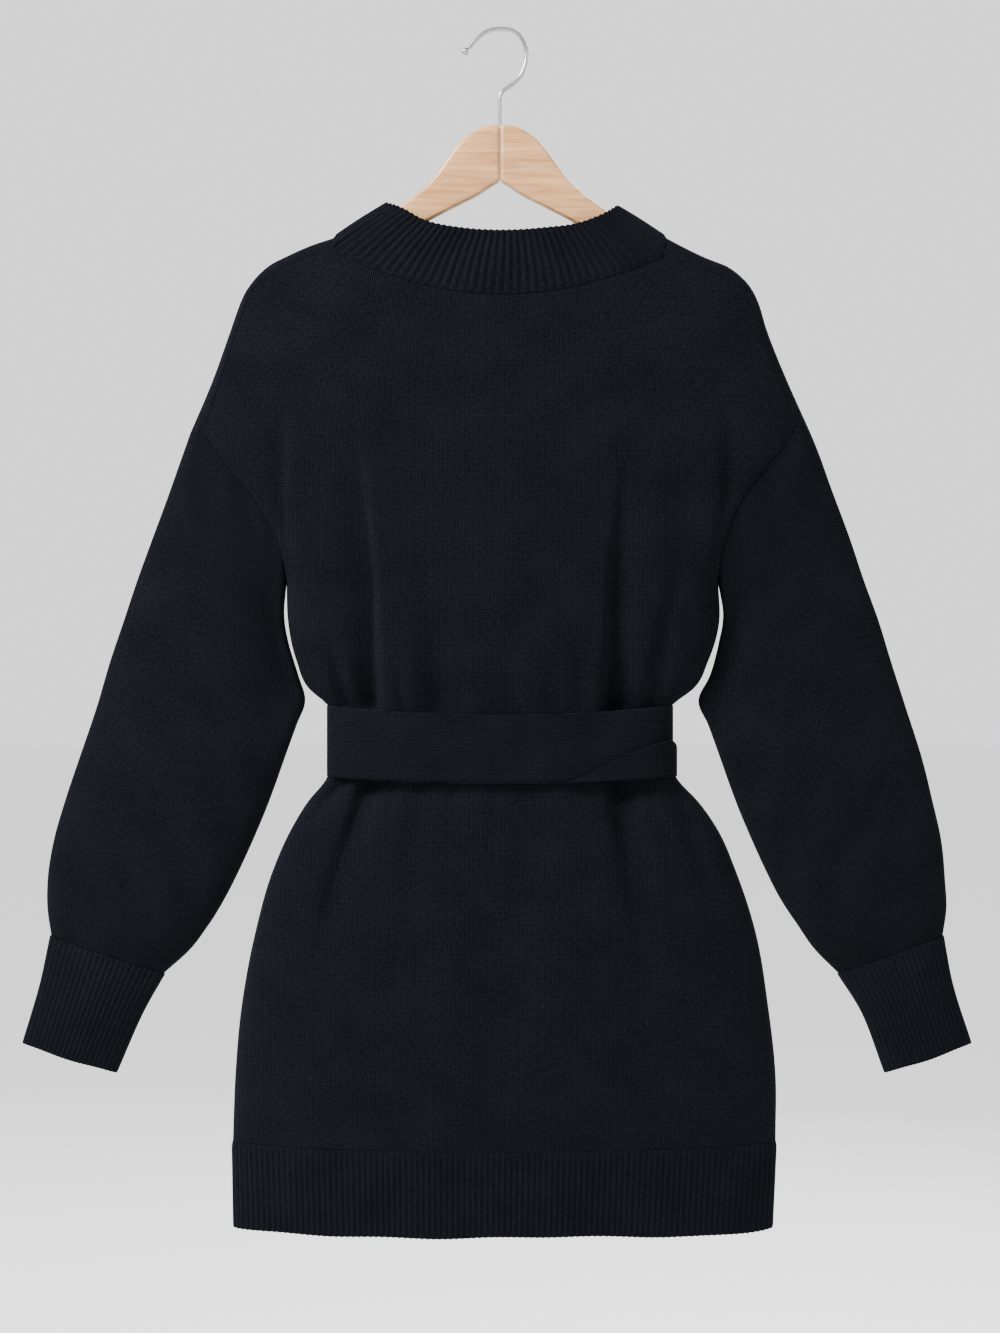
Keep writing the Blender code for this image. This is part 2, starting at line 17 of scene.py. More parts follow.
import bmesh
import bpy
import numpy as np
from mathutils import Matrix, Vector

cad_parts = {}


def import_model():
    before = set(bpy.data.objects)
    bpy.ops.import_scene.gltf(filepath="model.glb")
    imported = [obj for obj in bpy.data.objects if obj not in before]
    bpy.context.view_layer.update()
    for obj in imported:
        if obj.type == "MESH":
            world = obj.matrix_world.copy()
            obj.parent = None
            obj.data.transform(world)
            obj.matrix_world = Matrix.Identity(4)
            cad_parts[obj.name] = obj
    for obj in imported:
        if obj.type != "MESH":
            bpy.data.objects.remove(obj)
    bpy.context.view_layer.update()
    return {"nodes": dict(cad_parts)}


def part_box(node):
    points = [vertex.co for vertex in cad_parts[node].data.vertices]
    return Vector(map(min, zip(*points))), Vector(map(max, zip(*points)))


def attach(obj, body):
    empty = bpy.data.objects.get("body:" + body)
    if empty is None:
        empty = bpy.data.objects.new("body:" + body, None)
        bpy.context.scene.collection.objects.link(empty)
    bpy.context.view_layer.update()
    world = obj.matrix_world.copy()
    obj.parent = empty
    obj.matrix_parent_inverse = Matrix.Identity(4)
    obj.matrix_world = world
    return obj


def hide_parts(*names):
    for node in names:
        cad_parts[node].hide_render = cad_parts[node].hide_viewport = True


LOG = logging.getLogger("dress")
MM = 0.001
BODY = "root"
SQUARE_EDGE = math.radians(75)
RIGHT_ANGLE = math.radians(90)
Colour = tuple[float, float, float, float]
Track = Callable[[float], float]
FOLD_FADE = 24.0          # how far a fold runs on past its last place, as under the belt
RIB_FADE = 5.0            # how far from a seam the ribs reach their full height
ROLL_STEPS = 14           # steps over each shoulder's rolled edge
TINY = 1e-9               # keeps a length that is divided by above nothing
NEAR = 1e-6               # counts as no distance, in the units of the place that uses it


class Hand(Enum):
    """The two sides of the dress, as the viewer sees them."""

    LEFT = -1
    RIGHT = 1

    @property
    def word(self) -> str:
        """The side's word in the names of pieces and nodes."""
        return self.name.lower()


class Face(Enum):
    """The side that shows, the back, and the hidden side, the front."""

    SHOWN = -1
    HIDDEN = 1


def bell(value: np.ndarray | float, centre: np.ndarray | float,
         width: np.ndarray | float) -> np.ndarray | float:
    """How near a value lies to a centre: 1 at it, and soon nothing past the width."""
    return np.exp(-(((value - centre) / width) ** 2))


@dataclass(frozen=True)
class Fold:
    """A soft valley in the cloth, given as (x, drop, depth) at three places."""

    top: tuple[float, float, float]
    middle: tuple[float, float, float]
    bottom: tuple[float, float, float]
    left_width: float
    right_width: float

    def depth(self, x: np.ndarray, drop: np.ndarray) -> np.ndarray:
        """How deep this fold is at each place.

        Args:
            x: places across the dress.
            drop: their distances below the origin.

        Returns:
            The depth at each place.
        """
        places = (self.top, self.middle, self.bottom)
        drops = [place[1] for place in places]
        centre = np.interp(drop, drops, [place[0] for place in places])
        faded = [drops[0] - FOLD_FADE] + drops + [drops[2] + FOLD_FADE]
        deep = np.interp(drop, faded, [0.0] + [place[2] for place in places] + [0.0])
        width = np.where(x < centre, self.left_width, self.right_width)
        return deep * bell(x, centre, width)


# The outline, section by section, as the solids have it
SHOULDER = (
    # seam x, seam drop, edge x, edge drop; left then right
    ((-139, 182, -137, 170), (133, 188, 137, 170)),
    ((-160, 189, -155, 176), (152, 194, 154, 179)),
    ((-176, 195, -173, 184), (168, 198, 171, 187)),
    ((-190, 203, -190, 193), (184, 203, 188, 194)),
    ((-201, 213, -203, 206), (197, 213, 203, 207)),
    ((-208, 228, -212, 221), (205, 227, 212, 223)),
    ((-216, 252, -222, 249), (213, 249, 220, 249)),
    ((-229, 290, -236, 288), (228, 287, 235, 286)),
    ((-242, 329, -254, 330), (242, 325, 253, 326)),
)
ARMHOLE = (
    # drop, left x, right x, half depth
    (346, -232, 228, 12.0),
    (364, -217, 213, 13.5),
    (384, -201, 198, 14.0),
    (404, -188, 188, 14.0),
    (424, -179, 181, 13.0),
    (440, -176, 179, 9.0),
    (454, -175, 179, 0.0),
)
SIDES = (
    # drop, left x, right x
    (483, -174, 180),
    (516, -167, 171),
    (540, -156, 158),
    (552, -142, 142),
    (583, -139, 139),
    (614, -143, 146),
    (631, -157, 162),
    (652, -170, 177),
    (690, -187, 194),
    (736, -200, 209),
    (800, -212, 220),
    (856, -217, 226),
    (909, -219, 226),
)
DEPTHS = (
    # drop, shown side, hidden side
    (219, 24, 23),
    (270, 28, 26),
    (330, 32, 29),
    (400, 34, 31),
    (454, 35, 32),
    (520, 34, 31),
    (552, 27, 25),
    (614, 27, 25),
    (650, 33, 31),
    (720, 38, 35),
    (800, 40, 37),
    (909, 36, 34),
    (990, 31, 30),
)
SLEEVES = (
    # outer drop, left x, right x; inner drop, left x, right x; half depth, shift to the back
    (330, -254, 253, 454, -175, 179, 12, 0),
    (352, -262, 263, 476, -177, 183, 15, 2),
    (385, -274, 276, 500, -174, 180, 16, 4),
    (417, -286, 288, 527, -166, 173, 17, 5),
    (450, -298, 299, 549, -160, 163, 18, 5),
    (483, -309, 311, 569, -167, 171, 18, 5),
    (516, -320, 321, 594, -176, 180, 19, 4),
    (553, -331, 333, 625, -187, 191, 19, 4),
    (598, -346, 347, 655, -199, 203, 20, 3),
    (631, -357, 355, 684, -212, 216, 20, 3),
    (663, -366, 362, 710, -225, 229, 20, 2),
    (696, -371, 365, 733, -239, 244, 19, 1),
    (719, -371, 366, 753, -254, 258, 17, 0),
    (741, -368, 363, 772, -275, 277, 12, 0),
)
CUFFS = (
    # the same columns, below the sleeve's last section
    (783, -377, 371, 806, -294, 298, 11, 0),
    (830, -391, 386, 854, -315, 316, 10, 0),
)
NECK_TOP = (
    # x, drop, share of the half depth
    (-92, 141, 0.0),
    (-83, 145, 0.45),
    (-62, 157, 0.80),
    (-31, 164, 0.97),
    (0, 166, 1.0),
    (35, 164, 0.97),
    (66, 159, 0.80),
    (88, 149, 0.45),
    (96, 143, 0.0),
)
SHOULDER_ROLL = 11.5
NECK_DROP = 219.0
NECK_CURVE = 1.9
NECK_TOP_DEPTH = 21.0
NECK_TOP_FAR_DROP = 3.0
HEM_SEAM_DROP = 909.0
HEM_SEAM_SAG = 4.0
HEM_SAG_START = 800.0
ARMHOLE_CENTRE_SAG = 2.0  # how far a section between the armholes sags at its centre
HEM_BOTTOM_DROP = 980.0
HEM_BOTTOM_SAG = 3.5
HEM_BOTTOM_SHIFT = 1.0    # how far the lower edge hangs to the left of the seam
HEM_BOTTOM_WIDTH = 0.99   # its width as a share of the seam's
BODY_RISE = 0.42          # how steeply a section rounds at its side seams
SHOULDER_RISE = 0.8       # the same at the shoulder seams
SECTION_POWER = 2.3

# The folds: those of the solids, and the smaller ones between them
MAIN_FOLDS = (
    Fold((-120, 303, 0), (-104, 450, 8), (-102, 551, 15), 18, 4.5),
    Fold((-143, 490, 0), (-134, 516, 5), (-126, 551, 7), 8, 7),
    Fold((-66, 380, 0), (-54, 483, 4), (-50, 551, 8), 13, 17),
    Fold((104, 335, 0), (92, 450, 8), (89, 551, 15), 4.5, 18),
    Fold((152, 417, 0), (135, 483, 5), (123, 551, 7), 8, 10),
    Fold((-176, 286, 0), (-178, 380, 6), (-173, 446, 5), 11, 5),
    Fold((184, 286, 0), (185, 380, 6), (176, 446, 5), 5, 11),
    Fold((-128, 615, 7), (-143, 631, 5), (-162, 658, 0), 7, 8),
    Fold((-107, 615, 12), (-128, 676, 5), (-156, 780, 0), 7, 16),
    Fold((-66, 615, 4), (-72, 688, 3), (-90, 836, 0), 13, 14),
    Fold((25, 615, 2), (25, 720, 2.5), (25, 836, 0), 20, 20),
    Fold((93, 615, 13), (104, 690, 5.5), (122, 800, 0), 7, 18),
    Fold((143, 620, 5), (166, 688, 4), (179, 735, 0), 8, 9),
)
SMALL_FOLDS = (
    Fold((-84, 505, 0), (-82, 533, 1.6), (-80, 551, 2.6), 4, 5),
    Fold((-28, 500, 0), (-29, 530, 0.9), (-30, 551, 1.6), 7, 6),
    Fold((6, 470, 0), (8, 520, 0.8), (8, 551, 1.4), 9, 9),
    Fold((40, 505, 0), (41, 533, 1.2), (42, 551, 1.8), 7, 6),
    Fold((69, 492, 0), (66, 528, 1.6), (65, 551, 2.4), 6, 5),
    Fold((-148, 300, 0), (-150, 360, 1.6), (-146, 440, 0), 12, 14),
    Fold((146, 310, 0), (150, 370, 1.6), (148, 450, 0), 14, 12),
    Fold((-86, 615, 2.6), (-92, 650, 1.4), (-104, 720, 0), 5, 6),
    Fold((-38, 615, 2.0), (-40, 645, 1.2), (-44, 700, 0), 7, 7),
    Fold((-6, 615, 1.4), (-6, 640, 0.8), (-7, 690, 0), 8, 8),
    Fold((62, 615, 2.0), (66, 650, 1.2), (74, 720, 0), 7, 7),
    Fold((118, 615, 2.6), (132, 655, 1.4), (150, 740, 0), 5, 6),
)
SLOW_WAVES = (
    # depth, x and drop for one radian, start
    (0.5, 31.0, 90.0, 0.0),
    (0.4, 17.0, -140.0, 1.0),
)
HEM_WAVES = (
    # height, x for one radian, start
    (0.8, 37.0, 0.0),
    (0.5, 14.0, 2.0),
)
MIRROR_SUM = 6.0          # what the x of a place and of its mirrored place add up to
FOLD_END_POWER = 12       # how close to the side seams the folds still run


def track(keys: Sequence[float], values: Sequence[float]) -> Track:
    """Makes a smooth curve through the values.

    Args:
        keys: rising places along the curve.
        values: the value at each place.

    Returns:
        A function that reads the curve at any place.
    """
    key_row = np.array(keys, float)
    value_row = np.array(values, float)
    slopes = np.gradient(value_row, key_row)

    def read(key: float) -> float:
        """Reads the curve.

        Args:
            key: a place along it; one past an end counts as that end.

        Returns:
            The value there.
        """
        key = min(max(key, key_row[0]), key_row[-1])
        i = min(int(np.searchsorted(key_row, key, side="right")) - 1, len(key_row) - 2)
        span = key_row[i + 1] - key_row[i]
        t = (key - key_row[i]) / span
        start = (1 + 2 * t) * (1 - t) ** 2 * value_row[i] + t * (1 - t) ** 2 * span * slopes[i]
        end = t * t * (3 - 2 * t) * value_row[i + 1] + t * t * (t - 1) * span * slopes[i + 1]
        return float(start + end)

    return read


def tracks_through(keys: Sequence[float], rows: Sequence[Sequence[float]],
                   columns: Sequence[int]) -> list[Track]:
    """Makes one smooth curve for each chosen column of a table.

    Args:
        keys: the place of each row.
        rows: the table's rows.
        columns: the columns to read.

    Returns:
        The curves, in the columns' order.
    """
    return [track(keys, [row[column] for row in rows]) for column in columns]


def ease(share: np.ndarray | float) -> np.ndarray | float:
    """A share from 0 to 1, with a soft start and end."""
    return share * share * (3 - 2 * share)


def distances(points: np.ndarray) -> np.ndarray:
    """How far each point lies along a line, in millimetres."""
    return np.concatenate([[0.0], np.cumsum(np.linalg.norm(np.diff(points, axis=0), axis=1))])


def even_steps(points: np.ndarray, steps: int) -> np.ndarray:
    """Takes even steps along an open line.

    Args:
        points: the line's points.
        steps: how many steps to take.

    Returns:
        The new points, one more than the steps.
    """
    along = distances(points)
    wanted = np.linspace(0.0, along[-1], steps + 1)
    return np.column_stack([np.interp(wanted, along, points[:, axis]) for axis in range(3)])


def resample(points: np.ndarray, count: int) -> np.ndarray:
    """Takes even steps round a closed line.

    Args:
        points: the line's points, without the first one repeated.
        count: how many steps to take.

    Returns:
        The new points.
    """
    return even_steps(np.vstack([points, points[:1]]), count)[:-1]


def round_angles(count: int) -> np.ndarray:
    """Even angles once round a tube."""
    return 2 * math.pi * np.arange(count) / count


@dataclass
class Patch:
    """Points, four-cornered faces and a place on the cloth for each corner, in millimetres."""

    points: np.ndarray
    faces: np.ndarray
    cloth: np.ndarray

    @classmethod
    def grid(cls, points: np.ndarray, cloth: np.ndarray, wrap: bool, flip: bool) -> "Patch":
        """Makes faces over rows of points.

        Args:
            points: rows by columns by three.
            cloth: rows by columns by two, with one column more if the rows close.
            wrap: whether the last column joins the first.
            flip: whether the faces turn over.

        Returns:
            The patch.
        """
        rows, columns = points.shape[:2]
        spans = columns if wrap else columns - 1
        row, column = np.meshgrid(np.arange(rows - 1), np.arange(spans), indexing="ij")
        after = (column + 1) % columns
        corners = [row * columns + column, row * columns + after,
                   (row + 1) * columns + after, (row + 1) * columns + column]
        places = [cloth[row, column], cloth[row, column + 1],
                  cloth[row + 1, column + 1], cloth[row + 1, column]]
        faces = np.stack(corners, axis=-1).reshape(-1, 4)
        spots = np.stack(places, axis=-2).reshape(-1, 4, 2)
        if flip:
            faces = faces[:, ::-1]
            spots = spots[:, ::-1]
        return cls(points.reshape(-1, 3).astype(float), faces, spots)

    @classmethod
    def joined(cls, patches: Sequence["Patch"]) -> "Patch":
        """Joins patches, and merges the points that they share.

        Args:
            patches: the patches to join.

        Returns:
            One patch.
        """
        offsets = np.cumsum([0] + [len(patch.points) for patch in patches[:-1]])
        points = np.vstack([patch.points for patch in patches])
        faces = np.vstack([patch.faces + offset for patch, offset in zip(patches, offsets)])
        cloth = np.vstack([patch.cloth for patch in patches])
        rounded = np.round(points, 4)
        _, first, place = np.unique(rounded, axis=0, return_index=True, return_inverse=True)
        return cls(points[first], place.reshape(-1)[faces], cloth)

    def normals(self) -> np.ndarray:
        """Finds where the cloth faces.

        Returns:
            A direction of length one at each point.
        """
        corners = self.points[self.faces]
        flat = np.cross(corners[:, 2] - corners[:, 0], corners[:, 3] - corners[:, 1])
        total = np.zeros_like(self.points)
        for corner in range(4):
            np.add.at(total, self.faces[:, corner], flat)
        length = np.linalg.norm(total, axis=1)[:, None]
        return total / np.maximum(length, TINY)

    def rim(self) -> np.ndarray:
        """Finds the patch's open edges.

        Returns:
            The start and end point of each, in the direction of its face.
        """
        edges = np.concatenate([self.faces[:, [turn, (turn + 1) % 4]] for turn in range(4)])
        ordered = np.sort(edges, axis=1)
        _, place, uses = np.unique(ordered, axis=0, return_inverse=True, return_counts=True)
        return edges[uses[place.reshape(-1)] == 1]


def smooth(mesh: bpy.types.Mesh, square: float = SQUARE_EDGE) -> None:
    """Shades a mesh smooth, apart from its edges that are sharper than an angle."""
    mesh.shade_smooth()
    mesh.set_sharp_from_angle(angle=square)


def add_object(name: str, data: bpy.types.ID | None) -> bpy.types.Object:
    """Adds an object at the origin.

    Args:
        name: its name.
        data: its mesh, curve, lamp or camera.

    Returns:
        The object.
    """
    made = bpy.data.objects.new(name, data)
    bpy.context.scene.collection.objects.link(made)
    return made


def mesh_from(shape: bmesh.types.BMesh, name: str) -> bpy.types.Mesh:
    """Keeps an edited shape as a mesh.

    Args:
        shape: the shape, which is freed.
        name: the mesh's name.

    Returns:
        The mesh.
    """
    mesh = bpy.data.meshes.new(name)
    shape.to_mesh(mesh)
    shape.free()
    return mesh


def plain_mesh(piece: bpy.types.Object) -> bpy.types.Mesh:
    """Takes a piece's modifiers or curve into a plain mesh.

    Args:
        piece: the piece.

    Returns:
        The new mesh.
    """
    graph = bpy.context.evaluated_depsgraph_get()
    return bpy.data.meshes.new_from_object(piece.evaluated_get(graph))


def declare(piece: bpy.types.Object, node: str) -> None:
    """Hides the node that a finished piece replaces, hangs the piece on the body, and reports it.

    Args:
        piece: the piece.
        node: the node that it replaces.
    """
    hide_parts(node)
    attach(piece, BODY)
    surface = sum(face.area for face in piece.data.polygons)
    LOG.info("%s: %d faces, %.4f m2 of surface", piece.name, len(piece.data.polygons), surface)


@dataclass
class Wall:
    """A closed cloth wall on a patch, round along its free edges and square along its seams.

    free holds the points of the free edges, and level the points where the wall stands
    square to the front and back.
    """

    name: str
    patch: Patch
    thick: float
    level: np.ndarray | None = None
    free: np.ndarray | None = None
    inset: float = 0.06
    seam_round: float = 0.05
    free_round: float = 0.3

    def build(self, material: bpy.types.Material) -> bpy.types.Object:
        """Makes the wall's object.

        Args:
            material: the finish of the whole wall.

        Returns:
            The object, at the origin, with its cloth map and outside attribute.
        """
        patch = self.patch
        normals = patch.normals()
        if self.level is not None:
            normals[self.level, 1] = 0.0
            normals /= np.linalg.norm(normals, axis=1)[:, None]
        rim = patch.rim()
        outer = patch.points.copy()
        inner = outer - normals * self.thick
        count = len(outer)
        rim_points, middle = self._rounded_rim(rim, outer, inner, normals)
        faces = [tuple(face) for face in patch.faces]
        faces += [tuple(face) for face in patch.faces[:, ::-1] + count]
        place = {int(index): 2 * count + spot for spot, index in enumerate(rim_points)}
        for start, end in rim:
            faces.append((end, start, place[int(start)], place[int(end)]))
            faces.append((place[int(end)], place[int(start)], start + count, end + count))
        points = np.vstack([outer, inner, middle]) * MM
        mesh = bpy.data.meshes.new(self.name)
        mesh.from_pydata([tuple(point) for point in points], [], faces)
        spots = [patch.cloth.reshape(-1, 2), patch.cloth[:, ::-1].reshape(-1, 2), self._rim_cloth(rim)]
        uv = np.vstack(spots) * MM
        mesh.uv_layers.new(name="cloth").data.foreach_set("uv", uv.astype(np.float32).ravel())
        outside = mesh.attributes.new("outside", "FLOAT", "POINT")
        flags = np.concatenate([np.ones(count), np.zeros(count), np.full(len(middle), 0.5)])
        outside.data.foreach_set("value", flags.astype(np.float32))
        mesh.materials.append(material)
        smooth(mesh)
        return add_object(self.name, mesh)

    def _rounded_rim(self, rim: np.ndarray, outer: np.ndarray, inner: np.ndarray,
                     normals: np.ndarray) -> tuple[np.ndarray, np.ndarray]:
        """Draws the wall's open edges in, and rounds them off.

        Args:
            rim: the patch's open edges.
            outer: the outer points, of which those on the rim are moved.
            inner: the inner points, likewise.
            normals: where the cloth faces at each point.

        Returns:
            The numbers of the rim's points, and the points halfway through the wall there.
        """
        patch = self.patch
        centre = np.zeros_like(outer)
        uses = np.zeros(len(outer))
        face_centres = patch.points[patch.faces].mean(axis=1)
        for corner in range(4):
            np.add.at(centre, patch.faces[:, corner], face_centres)
            np.add.at(uses, patch.faces[:, corner], 1)
        indices = np.unique(rim)
        away = outer[indices] - centre[indices] / uses[indices][:, None]
        away -= normals[indices] * np.sum(away * normals[indices], axis=1)[:, None]
        away /= np.maximum(np.linalg.norm(away, axis=1)[:, None], TINY)
        halfway = (outer[indices] + inner[indices]) / 2
        is_free = np.isin(indices, self.free if self.free is not None else [])
        round_by = np.where(is_free, self.free_round, self.seam_round)[:, None] * self.thick
        outer[indices] -= away * (self.inset + round_by)
        inner[indices] -= away * (self.inset + round_by)
        return indices, halfway - away * self.inset

    def _rim_cloth(self, rim: np.ndarray) -> np.ndarray:
        """Finds the cloth places of the rim's faces, from the outer points beside them.

        Args:
            rim: the patch's open edges.

        Returns:
            A place for each corner of the rim's faces.
        """
        patch = self.patch
        known = np.zeros((len(patch.points), 2))
        known[patch.faces.ravel()] = patch.cloth.reshape(-1, 2)
        start = known[rim[:, 0]]
        end = known[rim[:, 1]]
        rows = np.stack([end, start, start, end, end, start, start, end], axis=1)
        return rows.reshape(-1, 2)


@dataclass(frozen=True)
class Level:
    """One section across the dress: its ends, and how it rounds between them."""

    left: tuple[float, float]
    right: tuple[float, float]
    end_depth: float
    centre: float
    rise: float


def smooth_levels(step: float) -> tuple[list[Level], int, int]:
    """The dress's sections from the neck and shoulder seams to the hem seam.

    Args:
        step: about how far apart they lie at the centre.

    Returns:
        The levels, the number of the one at the shoulder's end, and of that at the underarm.
    """
    last = len(SHOULDER) - 1
    end_drop = SHOULDER[-1][0][1] + ARMHOLE_CENTRE_SAG
    shoulder = []
    for number, (left, right) in enumerate(SHOULDER):
        centre = NECK_DROP + (end_drop - NECK_DROP) * number / last
        shoulder.append((centre, left[0], left[1], right[0], right[1], SHOULDER_ROLL, SHOULDER_RISE))
    arm = [shoulder[-1]]
    for number, (drop, left_x, right_x, depth) in enumerate(ARMHOLE):
        rise = SHOULDER_RISE - (SHOULDER_RISE - BODY_RISE) * (number + 1) / len(ARMHOLE)
        arm.append((drop + ARMHOLE_CENTRE_SAG, left_x, drop, right_x, drop, depth, rise))
    side = [arm[-1]]
    for drop, left_x, right_x in SIDES:
        sag = HEM_SEAM_SAG * max(0.0, (drop - HEM_SAG_START) / (HEM_SEAM_DROP - HEM_SAG_START))
        side.append((drop + sag, left_x, drop, right_x, drop, 0.0, BODY_RISE))
    levels: list[Level] = []
    ends = []
    for part in (shoulder, arm, side):
        keys = [row[0] for row in part]
        tracks = tracks_through(keys, part, range(1, 7))
        count = max(2, round((keys[-1] - keys[0]) / step))
        first = 0 if not levels else 1
        for number in range(first, count + 1):
            key = keys[0] + (keys[-1] - keys[0]) * number / count
            left_x, left_drop, right_x, right_drop, depth, rise = (read(key) for read in tracks)
            levels.append(Level((left_x, left_drop), (right_x, right_drop), depth, key, rise))
        ends.append(len(levels) - 1)
    return levels, ends[0], ends[1]


def shoulder_ends(hand: Hand, share: float) -> tuple[float, float, float, float]:
    """Finds one place along the shoulder.

    Args:
        hand: which shoulder.
        share: how far along it, from 0 at the neck to 1 at the sleeve.

    Returns:
        The seam's x and drop, and the edge's x and drop.
    """
    side = 0 if hand is Hand.LEFT else 1
    keys = range(len(SHOULDER))
    reads = tracks_through(keys, [row[side] for row in SHOULDER], range(4))
    return tuple(read(share * keys[-1]) for read in reads)


def shoulder_roll(hand: Hand, share: float, steps: int) -> np.ndarray:
    """Points over the shoulder's rolled edge, from the shown side's seam to the hidden side.

    Args:
        hand: which shoulder.
        share: how far along it, from 0 at the neck to 1 at the sleeve.
        steps: how many steps the roll has.

    Returns:
        The points.
    """
    seam_x, seam_drop, edge_x, edge_drop = shoulder_ends(hand, share)
    angles = RIGHT_ANGLE * (1 - 2 * np.arange(steps + 1) / steps)
    lift = np.cos(angles)
    return np.column_stack([
        seam_x + (edge_x - seam_x) * lift,
        -SHOULDER_ROLL * np.sin(angles),
        -(seam_drop + (edge_drop - seam_drop) * lift),
    ])


class NodePen:
    """Draws nodes into a tree."""

    def __init__(self, tree: bpy.types.NodeTree) -> None:
        """Keeps the tree."""
        self.tree = tree

    def add(self, kind: str, **settings: object) -> bpy.types.Node:
        """Adds a node.

        Args:
            kind: the node's type.
            settings: its properties.

        Returns:
            The node.
        """
        node = self.tree.nodes.new(kind)
        for name, value in settings.items():
            setattr(node, name, value)
        return node

    def link(self, start: bpy.types.NodeSocket, end: bpy.types.NodeSocket) -> None:
        """Joins two sockets."""
        self.tree.links.new(start, end)

    def math(self, operation: str, *values: object) -> bpy.types.NodeSocket:
        """Adds a Math node.

        Args:
            operation: its operation.
            values: sockets or plain numbers for its inputs.

        Returns:
            Its output.
        """
        node = self.add("ShaderNodeMath", operation=operation)
        for socket, value in zip(node.inputs, values):
            if isinstance(value, bpy.types.NodeSocket):
                self.link(value, socket)
            else:
                socket.default_value = value
        return node.outputs[0]

    def noise(self, place: bpy.types.NodeSocket, scale: float, detail: float = 2.0,
              distortion: float = 0.0) -> bpy.types.NodeSocket:
        """Adds a noise texture.

        Args:
            place: the coordinates that it reads.
            scale: how fine it is.
            detail: how many finer layers it has.
            distortion: how far it is warped.

        Returns:
            Its value.
        """
        node = self.add("ShaderNodeTexNoise")
        node.inputs["Scale"].default_value = scale
        node.inputs["Detail"].default_value = detail
        node.inputs["Distortion"].default_value = distortion
        self.link(place, node.inputs["Vector"])
        return node.outputs["Fac"]

    def bump(self, shader: bpy.types.Node, height: bpy.types.NodeSocket, strength: float,
             distance: float) -> None:
        """Gives a shader a relief.

        Args:
            shader: the shader.
            height: the relief's height, from 0 to about 1.
            strength: how much of it shows.
            distance: its real height, in metres.
        """
        node = self.add("ShaderNodeBump")
        node.inputs["Strength"].default_value = strength
        node.inputs["Distance"].default_value = distance
        self.link(height, node.inputs["Height"])
        self.link(node.outputs["Normal"], shader.inputs["Normal"])


def start_finish(name: str, values: dict[str, object]) -> tuple[bpy.types.Material, NodePen, bpy.types.Node]:
    """Starts a material.

    Args:
        name: its name.
        values: its shader's even values.

    Returns:
        The material, a pen for its nodes, and its shader.
    """
    made = bpy.data.materials.new(name)
    made.use_nodes = True
    shader = made.node_tree.nodes["Principled BSDF"]
    for socket, value in values.items():
        shader.inputs[socket].default_value = value
    return made, NodePen(made.node_tree), shader


